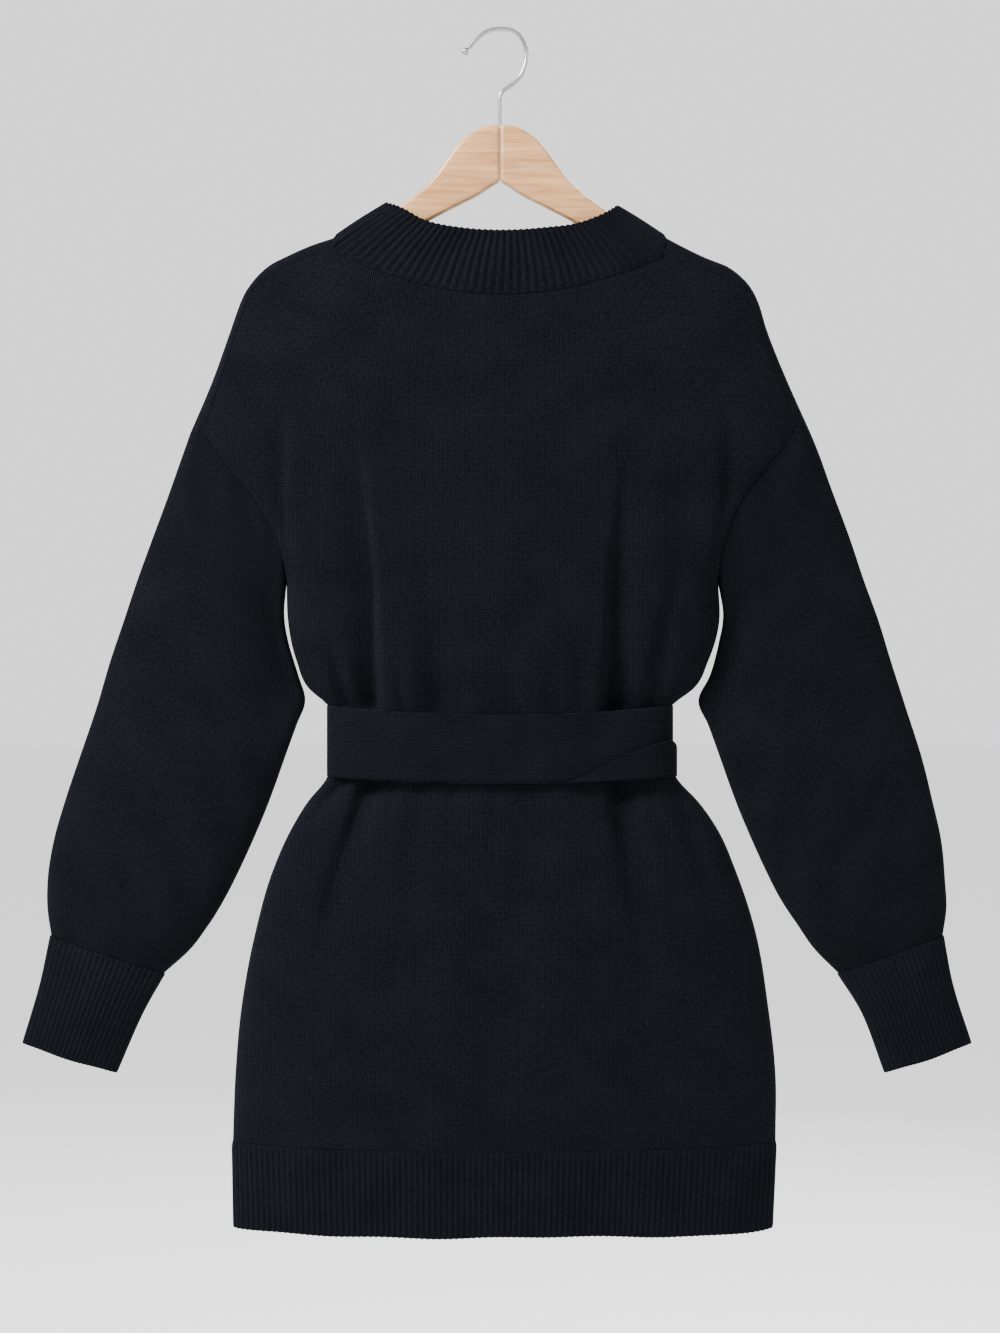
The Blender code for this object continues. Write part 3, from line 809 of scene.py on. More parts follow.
@dataclass(frozen=True)
class KnitFinish:
    """Dark wool in plain knit: rows of small V stitches, soft and a little fuzzy."""

    name: str
    stitch_width: float
    stitch_height: float
    relief: float
    # deep is the tone in the hollows between stitches and of dark yarn, partly painted shade; light is that
    # of stitch tops and pale yarn
    deep: Colour = (0.0001, 0.0001, 0.0002, 1.0)
    light: Colour = (0.0080, 0.0090, 0.0130, 1.0)
    sheen_tint: Colour = (0.70, 0.76, 0.88, 1.0)
    sheen: float = 0.006
    sheen_roughness: float = 0.45
    roughness: float = 0.92
    shine: float = 0.02
    wander: float = 0.7             # how far a wale wanders sideways
    leg_lean: float = 1.1           # how steeply the two legs of a stitch lean, in courses
    fuzz_share: float = 0.5
    hollow_shade_share: float = 0.75      # these three say how much of the tone comes from painted shade, darker where the relief is low, from the yarn's uneven colour, and from broad faint patches
    heather_share: float = 0.9      # from the yarn's uneven colour,
    patch_share: float = 0.4        # and from broad faint patches
    wander_scale: float = 90.0
    fuzz_scale: float = 1400.0
    heather_scale: float = 420.0
    patch_scale: float = 26.0

    def build(self) -> bpy.types.Material:
        """Makes the material; its pattern follows the piece's cloth map.

        Returns:
            The material.
        """
        made, pen, shader = start_finish(self.name, {
            "Roughness": self.roughness,
            "Specular IOR Level": self.shine,
            "Sheen Weight": self.sheen,
            "Sheen Roughness": self.sheen_roughness,
            "Sheen Tint": self.sheen_tint,
        })
        place = pen.add("ShaderNodeUVMap", uv_map="cloth").outputs["UV"]
        stitch = self._stitch(pen, place)
        height = pen.math("MULTIPLY_ADD", pen.noise(place, self.fuzz_scale, 3.0), self.fuzz_share, stitch)
        pen.bump(shader, height, 1.0, self.relief * MM)
        # painted shade: the tone darkens where the stitch and fuzz relief is low, between the stitches
        tone = pen.math("MULTIPLY_ADD", height, self.hollow_shade_share, -self.hollow_shade_share)
        heather = pen.noise(place, self.heather_scale, 3.0)
        tone = pen.math("MULTIPLY_ADD", heather, self.heather_share, tone)
        patches = pen.noise(place, self.patch_scale, 5.0)
        tone = pen.math("MULTIPLY_ADD", patches, self.patch_share, tone)
        tone = pen.math("MAXIMUM", tone, 0.0)
        mix = pen.add("ShaderNodeMix", data_type="RGBA")
        factor, first, second, result = mix.inputs[0], mix.inputs[6], mix.inputs[7], mix.outputs[2]
        first.default_value = self.deep
        second.default_value = self.light
        pen.link(tone, factor)
        pen.link(result, shader.inputs["Base Color"])
        return made

    def _stitch(self, pen: NodePen, place: bpy.types.NodeSocket) -> bpy.types.NodeSocket:
        """Draws the stitches, each with two round legs that lean together.

        Args:
            pen: the pen of the material.
            place: the cloth map.

        Returns:
            The height, from 0 between the stitches to 1 on them.
        """
        split = pen.add("ShaderNodeSeparateXYZ")
        pen.link(place, split.inputs["Vector"])
        sideways = pen.noise(place, self.wander_scale)
        drift = pen.math("MULTIPLY_ADD", sideways, self.wander * MM, split.outputs["X"])
        wale = pen.math("DIVIDE", drift, self.stitch_width * MM)
        course = pen.math("DIVIDE", split.outputs["Y"], self.stitch_height * MM)
        across = pen.math("SUBTRACT", pen.math("FRACT", wale), 0.5)
        across = pen.math("ABSOLUTE", across)
        leg = pen.math("SUBTRACT", across, 0.25)
        leg = pen.math("MULTIPLY", leg, 4.0)
        leg = pen.math("SUBTRACT", 1.0, pen.math("MULTIPLY", leg, leg))
        along = pen.math("ADD", course, pen.math("MULTIPLY", across, self.leg_lean))
        along = pen.math("SUBTRACT", pen.math("FRACT", along), 0.5)
        along = pen.math("MULTIPLY", along, 2.0)
        along = pen.math("SUBTRACT", 1.0, pen.math("MULTIPLY", along, along))
        return pen.math("MULTIPLY", leg, pen.math("MULTIPLY_ADD", along, 0.5, 0.5))


@dataclass(frozen=True)
class WoodFinish:
    """Pale lacquered wood whose grain runs along a sloping arm."""

    name: str
    slope: float
    dark: Colour = (0.33, 0.145, 0.050, 1.0)
    pale: Colour = (0.56, 0.305, 0.130, 1.0)
    dark_to: float = 0.30
    pale_from: float = 0.72
    stretch: tuple[float, float, float] = (6.0, 60.0, 90.0)
    grain_scale: float = 2.2
    relief: float = 0.15

    def build(self) -> bpy.types.Material:
        """Makes the material; its grain follows the piece's own place.

        Returns:
            The material.
        """
        made, pen, shader = start_finish(self.name, {
            "Roughness": 0.36,
            "Coat Weight": 0.25,
            "Coat Roughness": 0.2,
        })
        turn = pen.add("ShaderNodeMapping")
        turn.inputs["Rotation"].default_value = (0.0, self.slope, 0.0)
        turn.inputs["Scale"].default_value = self.stretch
        pen.link(pen.add("ShaderNodeTexCoord").outputs["Object"], turn.inputs["Vector"])
        grain = pen.noise(turn.outputs["Vector"], self.grain_scale, 6.0, 0.6)
        ramp = pen.add("ShaderNodeValToRGB")
        start, end = ramp.color_ramp.elements
        start.position = self.dark_to
        start.color = self.dark
        end.position = self.pale_from
        end.color = self.pale
        pen.link(grain, ramp.inputs["Fac"])
        pen.link(ramp.outputs["Color"], shader.inputs["Base Color"])
        pen.bump(shader, grain, 0.15, self.relief * MM)
        return made


@dataclass(frozen=True)
class SteelFinish:
    """Polished steel wire with faint drawing marks."""

    name: str
    colour: Colour = (0.34, 0.34, 0.35, 1.0)
    marks_scale: float = 900.0
    marks_share: float = 0.12
    roughness: float = 0.18

    def build(self) -> bpy.types.Material:
        """Makes the material.

        Returns:
            The material.
        """
        made, pen, shader = start_finish(self.name, {"Base Color": self.colour, "Metallic": 1.0})
        marks = pen.noise(pen.add("ShaderNodeTexCoord").outputs["Object"], self.marks_scale)
        rough = pen.math("MULTIPLY_ADD", marks, self.marks_share, self.roughness)
        pen.link(rough, shader.inputs["Roughness"])
        return made


class RibRaiser:
    """Geometry Nodes that raise evenly spaced ribs on a wall's outside."""

    sharpness: float = 0.8

    def __init__(self, name: str) -> None:
        """Builds the tree with its named inputs.

        Args:
            name: the tree's name.
        """
        self.tree = bpy.data.node_groups.new(name, "GeometryNodeTree")
        pen = NodePen(self.tree)
        self._socket("Geometry", "NodeSocketGeometry")
        self.height = self._socket("Rib Height", "NodeSocketFloat")
        self.pitch = self._socket("Rib Pitch", "NodeSocketFloat")
        self.finish = self._socket("Finish", "NodeSocketMaterial")
        self._socket("Geometry", "NodeSocketGeometry", "OUTPUT")
        start = pen.add("NodeGroupInput")
        end = pen.add("NodeGroupOutput")
        turn = pen.math("DIVIDE", self._attribute(pen, "rib_place"), start.outputs["Rib Pitch"])
        angle = pen.math("MULTIPLY", turn, 2 * math.pi)
        wave = pen.math("COSINE", angle)
        wave = pen.math("MULTIPLY_ADD", wave, 0.5, 0.5)
        wave = pen.math("POWER", wave, self.sharpness)
        lift = pen.math("MULTIPLY", wave, start.outputs["Rib Height"])
        lift = pen.math("MULTIPLY", lift, self._attribute(pen, "outside"))
        scale = pen.add("ShaderNodeVectorMath", operation="SCALE")
        pen.link(pen.add("GeometryNodeInputNormal").outputs["Normal"], scale.inputs[0])
        pen.link(lift, scale.inputs["Scale"])
        move = pen.add("GeometryNodeSetPosition")
        pen.link(start.outputs["Geometry"], move.inputs["Geometry"])
        pen.link(scale.outputs["Vector"], move.inputs["Offset"])
        real = pen.add("GeometryNodeRealizeInstances")
        pen.link(move.outputs["Geometry"], real.inputs["Geometry"])
        dress = pen.add("GeometryNodeSetMaterial")
        pen.link(real.outputs["Geometry"], dress.inputs["Geometry"])
        pen.link(start.outputs["Finish"], dress.inputs["Material"])
        pen.link(dress.outputs["Geometry"], end.inputs["Geometry"])

    def _socket(self, name: str, kind: str, way: str = "INPUT") -> str:
        """Adds an input or output to the tree, and gives its identifier."""
        return self.tree.interface.new_socket(name, in_out=way, socket_type=kind).identifier

    @staticmethod
    def _attribute(pen: NodePen, name: str) -> bpy.types.NodeSocket:
        """Adds a node that reads a number kept on the points.

        Args:
            pen: the tree's pen.
            name: the number's name.

        Returns:
            The number.
        """
        node = pen.add("GeometryNodeInputNamedAttribute", data_type="FLOAT")
        node.inputs["Name"].default_value = name
        return node.outputs["Attribute"]

    def apply(self, piece: bpy.types.Object, height: float, pitch: float,
              finish: bpy.types.Material) -> None:
        """Raises the ribs and leaves a plain mesh.

        Args:
            piece: a wall with rib places.
            height: the ribs' height, in metres.
            pitch: the distance from rib to rib, in the units of the rib places.
            finish: the material.
        """
        ribs = piece.modifiers.new("ribs", "NODES")
        ribs.node_group = self.tree
        ribs[self.height] = height
        ribs[self.pitch] = pitch
        ribs[self.finish] = finish
        mesh = plain_mesh(piece)
        piece.modifiers.remove(ribs)
        piece.data = mesh
        smooth(mesh)


def set_rib_places(piece: bpy.types.Object, columns: int, from_seam: np.ndarray, per_rib: int) -> None:
    """Keeps on each point how many ribs lie before it, and lets the ribs fade in at the seam.

    Args:
        piece: a wall on a closed tube.
        columns: points in each ring.
        from_seam: how far each ring lies from the seam, in millimetres.
        per_rib: points in each rib.
    """
    count = columns * len(from_seam)
    total = len(piece.data.vertices)
    outside = np.zeros(total)
    outside[:count] = np.repeat(ease(np.clip(from_seam / RIB_FADE, 0.0, 1.0)), columns)
    piece.data.attributes["outside"].data.foreach_set("value", outside.astype(np.float32))
    place = (np.arange(count) % columns) / per_rib
    values = np.concatenate([place, place, np.zeros(total - 2 * count)])
    kept = piece.data.attributes.new("rib_place", "FLOAT", "POINT")
    kept.data.foreach_set("value", values.astype(np.float32))


def tube_cloth(grid: np.ndarray) -> np.ndarray:
    """Lays the cloth map of a tube, round it and along it.

    Args:
        grid: the tube's rings.

    Returns:
        Each point's place on the cloth, with the first column once more at the end.
    """
    closed = np.concatenate([grid, grid[:, :1]], axis=1)
    round_steps = np.linalg.norm(np.diff(closed, axis=1), axis=2).mean(axis=0)
    across = np.concatenate([[0.0], np.cumsum(round_steps)])
    down_steps = np.linalg.norm(np.diff(closed, axis=0), axis=2)
    along = np.vstack([np.zeros(closed.shape[1]), np.cumsum(down_steps, axis=0)])
    return np.stack([np.broadcast_to(across, along.shape), -along], axis=-1)


@dataclass
class Body:
    """The back panel that shows and the front panel behind it."""

    row_step: float = 4.4
    shown_columns: int = 232
    hidden_columns: int = 150
    thick: float = 2.3
    hidden_fold_share: float = 0.8
    tuck_drop: float = 622.0
    tuck_depth: float = 3.2
    tuck_height: float = 8.0
    side_crowding: float = 0.45
    fan_slope: float = 0.6
    fan_start: float = 185.0
    fan_end: float = 410.0
    fan_inner: float = 40.0
    fan_width: float = 180.0
    fan_limit: float = 1.3
    fan_power: float = 1.3
    roll_cloth_start: float = 137.0
    roll_cloth_length: float = 30.0
    levels: list[Level] = field(default_factory=list)
    shoulder_end: int = 0
    underarm: int = 0

    def __post_init__(self) -> None:
        """Works out the sections."""
        self.levels, self.shoulder_end, self.underarm = smooth_levels(self.row_step)

    def across(self, columns: int) -> np.ndarray:
        """Places from -1 to 1 across a panel, closer together at its seams."""
        even = np.linspace(-1.0, 1.0, columns)
        return (1 + self.side_crowding) * even - self.side_crowding * even ** 3

    def rows(self, face: Face, columns: int) -> np.ndarray:
        """The panel's points.

        Args:
            face: which panel.
            columns: points in each row.

        Returns:
            Rows by columns by three.
        """
        depth_column = 1 if face is Face.SHOWN else 2
        depth_at = track([row[0] for row in DEPTHS], [row[depth_column] for row in DEPTHS])
        s = self.across(columns)
        grid = np.zeros((len(self.levels), columns, 3))
        for number, level in enumerate(self.levels):
            share = (s + 1) / 2
            x = level.left[0] + (level.right[0] - level.left[0]) * share
            drop = level.left[1] + (level.right[1] - level.left[1]) * share
            mean_end = (level.left[1] + level.right[1]) / 2
            drop = drop + (level.centre - mean_end) * (1 - np.abs(s) ** NECK_CURVE)
            swell = np.clip(1 - np.abs(s) ** SECTION_POWER, 0.0, 1.0) ** level.rise
            depth = level.end_depth + (depth_at(level.centre) - level.end_depth) * swell
            depth -= self.folds(face, x, drop) * (1 - np.abs(s) ** FOLD_END_POWER)
            grid[number] = np.column_stack([x, face.value * depth, -drop])
        return grid

    def folds(self, face: Face, x: np.ndarray, drop: np.ndarray) -> np.ndarray:
        """Finds how deep the folds are; the hidden side has like ones, mirrored and softer.

        Args:
            face: which panel.
            x: places across the dress.
            drop: their distances below the origin.

        Returns:
            The depth at each place.
        """
        here = x if face is Face.SHOWN else MIRROR_SUM - x
        share = 1.0 if face is Face.SHOWN else self.hidden_fold_share
        total = sum(fold.depth(here, drop) for fold in MAIN_FOLDS + SMALL_FOLDS)
        slow = sum(
            depth * np.sin(here / across + drop / down + start)
            for depth, across, down, start in SLOW_WAVES
        )
        tuck = self.tuck_depth * bell(drop, self.tuck_drop, self.tuck_height)
        return share * total + slow + tuck

    def cloth_places(self, grid: np.ndarray) -> np.ndarray:
        """Lays the cloth map: the wales hang straight down, and fan out to the shoulders.

        Args:
            grid: the panel's points.

        Returns:
            Each point's place on the cloth.
        """
        x = grid[:, :, 0]
        drop = -grid[:, :, 2]
        reach = self.fan_end - self.fan_start
        left_over = 1 - np.clip((drop - self.fan_start) / reach, 0.0, 1.0)
        lean = -self.fan_slope * reach / 3 * left_over ** 3
        outward = np.clip((np.abs(x) - self.fan_inner) / self.fan_width, 0.0, self.fan_limit)
        fanned = x + np.sign(x) * outward ** self.fan_power * lean
        return np.stack([fanned, grid[:, :, 2]], axis=-1)

    def build(self, finish: bpy.types.Material) -> tuple[np.ndarray, np.ndarray]:
        """Makes both panels.

        Args:
            finish: the plain knit.

        Returns:
            The points of the shown and the hidden panel.
        """
        shown = self.rows(Face.SHOWN, self.shown_columns)
        hidden = self.rows(Face.HIDDEN, self.hidden_columns)
        shown_patch = Patch.grid(shown, self.cloth_places(shown), False, True)
        back = self.wall("dress_back_panel", shown_patch).build(finish)
        self.declare(back, "back_panel")
        patches = [Patch.grid(hidden, self.cloth_places(hidden), False, False)]
        for hand, column in ((Hand.LEFT, 0), (Hand.RIGHT, -1)):
            rolls = np.array([
                shoulder_roll(hand, number / self.shoulder_end, ROLL_STEPS)
                for number in range(self.shoulder_end + 1)
            ])
            rolls[:, -1] = hidden[:self.shoulder_end + 1, column]
            patches.append(Patch.grid(rolls, self.roll_cloth(rolls, hand), False, hand is Hand.RIGHT))
        front = self.wall("dress_front_panel", Patch.joined(patches)).build(finish)
        self.declare(front, "front_panel")
        return shown, hidden

    def roll_cloth(self, rolls: np.ndarray, hand: Hand) -> np.ndarray:
        """Lays the cloth map over the shoulder, where the wales turn over its edge.

        Args:
            rolls: the rolled strip's points.
            hand: which shoulder.

        Returns:
            Each point's place on the cloth.
        """
        places = np.zeros(rolls.shape[:2] + (2,))
        along = hand.value * distances(rolls[:, -1])
        places[:, :, 0] = hand.value * self.roll_cloth_start + along[:, None]
        places[:, :, 1] = np.linspace(0.0, self.roll_cloth_length, rolls.shape[1])[None, :]
        return places

    def wall(self, name: str, patch: Patch) -> Wall:
        """Makes a wall that stands square to the front and back at the side seams.

        Args:
            name: the piece's name.
            patch: the panel.

        Returns:
            The wall.
        """
        top = -self.levels[self.underarm].left[1]
        at_seam = (np.abs(patch.points[:, 1]) < NEAR) & (patch.points[:, 2] <= top + NEAR)
        return Wall(name, patch, self.thick, np.nonzero(at_seam)[0])

    def declare(self, piece: bpy.types.Object, node: str) -> None:
        """Hides the node that a panel replaces, hangs the panel on the body, and reports it.

        Args:
            piece: the panel's piece.
            node: the node that it replaces.
        """
        declare(piece, node)


@dataclass
class Sleeve:
    """One sleeve with its ribbed cuff."""

    hand: Hand
    nodes_round: int = 18
    steps_per_node: int = 6
    row_step: float = 4.2
    thick: float = 2.3
    cuff_ribs: int = 46
    points_per_rib: int = 6
    cuff_rows: int = 26
    cuff_thick: float = 2.2
    cuff_swell: float = 1.0
    cuff_edge_wave: float = 0.5
    cuff_blend: float = 0.25
    rib_height: float = 1.0
    seam_blend: float = 46.0
    roundness: float = 0.8

    def tube(self, row: Sequence[float], angle: np.ndarray) -> np.ndarray:
        """Makes one section.

        Args:
            row: the section's sizes, in the columns of the table of sleeves.
            angle: angles from the inner edge round by the shown side.

        Returns:
            A point for each angle.
        """
        pick = 1 if self.hand is Hand.LEFT else 2
        outer = np.array([row[pick], 0.0, -row[0]])
        inner = np.array([row[3 + pick], 0.0, -row[3]])
        half_depth, shift = row[6:8]
        middle = (outer + inner) / 2
        reach = (outer - inner) / 2
        bulge = np.sign(np.sin(angle)) * np.abs(np.sin(angle)) ** self.roundness
        ring = middle[None, :] - reach[None, :] * np.cos(angle)[:, None]
        ring[:, 1] = shift - half_depth * bulge
        return ring

    def armhole(self, levels: Sequence[Level], shoulder_end: int, underarm: int) -> np.ndarray:
        """Follows the armhole seam, from the underarm up the shown side, over and down.

        Args:
            levels: the body's sections.
            shoulder_end: the number of the one at the shoulder's end.
            underarm: the number of the one at the underarm.

        Returns:
            Even points round the seam.
        """
        chosen = levels[shoulder_end:underarm + 1][::-1]
        ends = [level.left if self.hand is Hand.LEFT else level.right for level in chosen]
        near = np.array([
            (end[0], -level.end_depth, -end[1]) for end, level in zip(ends, chosen)
        ])
        over_nodes = 4
        side_nodes = (self.nodes_round - over_nodes) // 2
        near_line = even_steps(near, side_nodes * self.steps_per_node)
        roll = shoulder_roll(self.hand, 1.0, over_nodes * self.steps_per_node)
        far_line = near_line[::-1] * np.array([1.0, -1.0, 1.0])
        return np.vstack([near_line[:-1], roll[:-1], far_line[:-1]])

    def build(self, body: Body, plain: bpy.types.Material, ribbed: bpy.types.Material,
              ribs: RibRaiser) -> None:
        """Makes the sleeve and its cuff.

        Args:
            body: the body, which gives the armhole seam.
            plain: the sleeve's knit.
            ribbed: the cuff's knit.
            ribs: what raises the cuff's ribs.
        """
        loop = self.armhole(body.levels, body.shoulder_end, body.underarm)
        angle = round_angles(len(loop))
        keys = [row[0] for row in SLEEVES]
        tracks = tracks_through(keys, SLEEVES, range(8))
        count = round((keys[-1] - keys[0]) / self.row_step)
        start_delta = loop - self.tube(SLEEVES[0], angle)
        rings = []
        for number in range(count + 1):
            key = keys[0] + (keys[-1] - keys[0]) * number / count
            row = [read(key) for read in tracks]
            blend = max(0.0, 1.0 - (key - keys[0]) / self.seam_blend)
            ring = self.tube(row, angle) + start_delta * blend * blend * (3 - 2 * blend)
            ring[:, 1] -= np.sign(ring[:, 1] - row[7]) * self.creases(angle, key) * (number > 0)
            rings.append(ring)
        grid = np.array(rings)
        side = self.hand.word
        patch = Patch.grid(grid, tube_cloth(grid), True, self.hand is Hand.RIGHT)
        sleeve = Wall(f"dress_sleeve_{side}", patch, self.thick).build(plain)
        declare(sleeve, f"sleeve_{side}")
        self.build_cuff(grid[-1], ribbed, ribs)

    def creases(self, angle: np.ndarray, key: float) -> np.ndarray:
        """Finds the sleeve's shallow folds: by the body, at the elbow and over the cuff.

        Args:
            angle: angles round the section.
            key: the drop of its outer edge.

        Returns:
            The depth at each angle.
        """
        side = self.hand.value
        by_body = 6.0 * bell(key, 430, 70) * bell(np.sin(angle / 2), 0.36, 0.15)
        elbow = 1.2 * bell(key, 560, 40) * (0.5 + 0.5 * np.cos(2 * angle + side * key / 45))
        gather = max(0.0, (key - 700) / 41) ** 2
        over_cuff = 1.1 * gather * (0.5 + 0.5 * np.cos(9 * angle + side * 0.7))
        return by_body + elbow + over_cuff

    def build_cuff(self, seam_ring: np.ndarray, finish: bpy.types.Material, ribs: RibRaiser) -> None:
        """Makes the ribbed cuff.

        Args:
            seam_ring: the sleeve's last ring.
            finish: the ribbed knit.
            ribs: what raises the ribs.
        """
        columns = self.cuff_ribs * self.points_per_rib
        angle = round_angles(len(seam_ring))
        tracks = tracks_through((0.0, 0.5, 1.0), (SLEEVES[-1],) + CUFFS, range(8))
        seam = resample(seam_ring, columns)
        rings = []
        for number in range(self.cuff_rows + 1):
            share = number / self.cuff_rows
            row = [read(share) for read in tracks]
            row[6] += self.cuff_swell * math.sin(math.pi * share)
            ring = resample(self.tube(row, angle), columns)
            blend = max(0.0, 1 - share / self.cuff_blend)
            ring = ring * (1 - blend) + seam * blend
            ring[:, 2] += self.cuff_edge_wave * share * np.sin(round_angles(columns) * 3)
            rings.append(ring)
        grid = np.array(rings)
        patch = Patch.grid(grid, tube_cloth(grid), True, self.hand is Hand.RIGHT)
        free = np.arange(len(patch.points) - columns, len(patch.points))
        side = self.hand.word
        cuff = Wall(f"dress_cuff_{side}", patch, self.cuff_thick, free=free).build(finish)
        length = np.linalg.norm(grid[-1] - grid[0], axis=1).mean()
        set_rib_places(cuff, columns, np.linspace(0.0, length, len(rings)), self.points_per_rib)
        ribs.apply(cuff, self.rib_height * MM, 1.0, finish)
        declare(cuff, f"cuff_{side}")


@dataclass
class RibBand:
    """A ribbed tube between two closed lines: the neck rib or the hem."""

    name: str
    node: str
    ribs: int
    rows: int
    rib_height: float
    thick: float
    swell: float
    flat: tuple[float, float]
    free_top: bool = False
    points_per_rib: int = 6

    def build(self, top: np.ndarray, bottom: np.ndarray, finish: bpy.types.Material,
              raiser: RibRaiser) -> None:
        """Makes the band.

        Args:
            top: the upper line's points.
            bottom: the lower line's points.
            finish: the ribbed knit.
            raiser: what raises the ribs.
        """
        columns = self.ribs * self.points_per_rib
        upper = resample(top, columns)
        lower = resample(bottom, columns)
        shares = np.linspace(0.0, 1.0, self.rows + 1)
        grid = np.array([upper * (1 - share) + lower * share for share in shares])
        if self.swell:
            middle = grid.mean(axis=(0, 1))
            outward = grid - middle
            outward[:, :, 2] = 0.0
            outward /= np.linalg.norm(outward, axis=2)[:, :, None]
            grid = grid + outward * (self.swell * np.sin(math.pi * shares))[:, None, None]
        patch = Patch.grid(grid, tube_cloth(grid), True, True)
        first_free = 0 if self.free_top else len(patch.points) - columns
        free = np.arange(first_free, first_free + columns)
        band = Wall(self.name, patch, self.thick, free=free).build(finish)
        length = np.linalg.norm(lower - upper, axis=1).mean()
        from_seam = length * (1 - shares if self.free_top else shares)
        set_rib_places(band, columns, from_seam, self.points_per_rib)
        raiser.apply(band, self.rib_height * MM, 1.0, finish)
        declare(band, self.node)


@dataclass
class Bands:
    """The neck rib and the hem rib, made from the panels' own edges."""

    shown: np.ndarray
    hidden: np.ndarray
    top_steps: int = 80
    neck: RibBand = field(default_factory=lambda: RibBand(
        "dress_neck_rib", "neck_rib", ribs=88, rows=26, rib_height=1.5, thick=2.3, swell=1.2,
        flat=(0.53, 0.052), free_top=True))
    hem: RibBand = field(default_factory=lambda: RibBand(
        "dress_hem_rib", "hem_rib", ribs=196, rows=20, rib_height=1.2, thick=2.3, swell=0.0,
        flat=(0.92, 0.072)))

    def neck_seam(self) -> np.ndarray:
        """Follows the neck seam, from the left shoulder's edge round by the shown side.

        Returns:
            Its points.
        """
        left = shoulder_roll(Hand.LEFT, 0.0, ROLL_STEPS)
        right = shoulder_roll(Hand.RIGHT, 0.0, ROLL_STEPS)
        half = ROLL_STEPS // 2
        far_left = left[ROLL_STEPS - 1:half:-1]
        return np.vstack([left[half:0:-1], self.shown[0], right[1:-1], self.hidden[0][::-1], far_left])

    def neck_top(self) -> np.ndarray:
        """Follows the neck rib's upper edge, from the left peak round by the shown side.

        Returns:
            Its points.
        """
        xs = [row[0] for row in NECK_TOP]
        drop_at, share_at = tracks_through(xs, NECK_TOP, (1, 2))
        middle = (xs[0] + xs[-1]) / 2
        reach = (xs[-1] - xs[0]) / 2
        near = []
        far = []
        for step in range(self.top_steps + 1):
            x = middle - reach * math.cos(math.pi * step / self.top_steps)
            depth = NECK_TOP_DEPTH * share_at(x)
            near.append((x, -depth, -drop_at(x)))
            far.append((x, depth, -drop_at(x) - NECK_TOP_FAR_DROP * share_at(x)))
        return np.array(near + far[1:-1][::-1])

    def hem_lines(self) -> tuple[np.ndarray, np.ndarray]:
        """Follows the hem.

        Returns:
            The points of its seam and of its lower edge.
        """
        seam = np.vstack([self.shown[-1], self.hidden[-1][::-1][1:-1]])
        near_depth = track([row[0] for row in DEPTHS], [row[1] for row in DEPTHS])
        reach = (SIDES[-1][2] - SIDES[-1][1]) / 2
        middle = (SIDES[-1][2] + SIDES[-1][1]) / 2
        bottom = seam.copy()
        share = (seam[:, 0] - middle) / reach
        bottom[:, 0] = middle - HEM_BOTTOM_SHIFT + (seam[:, 0] - middle) * HEM_BOTTOM_WIDTH
        bottom[:, 1] *= near_depth(DEPTHS[-1][0]) / near_depth(HEM_SEAM_DROP)
        bottom[:, 2] = -(HEM_BOTTOM_DROP + HEM_BOTTOM_SAG * (1 - np.abs(share) ** 6))
        bottom[:, 2] += sum(
            height * np.sin(seam[:, 0] / across + start) for height, across, start in HEM_WAVES
        )
        return seam, bottom

    def build(self, finish: bpy.types.Material, raiser: RibRaiser) -> None:
        """Makes both bands.

        Args:
            finish: the ribbed knit.
            raiser: what raises the ribs.
        """
        self.neck.build(self.neck_top(), self.neck_seam(), finish, raiser)
        seam, bottom = self.hem_lines()
        self.hem.build(seam, bottom, finish, raiser)


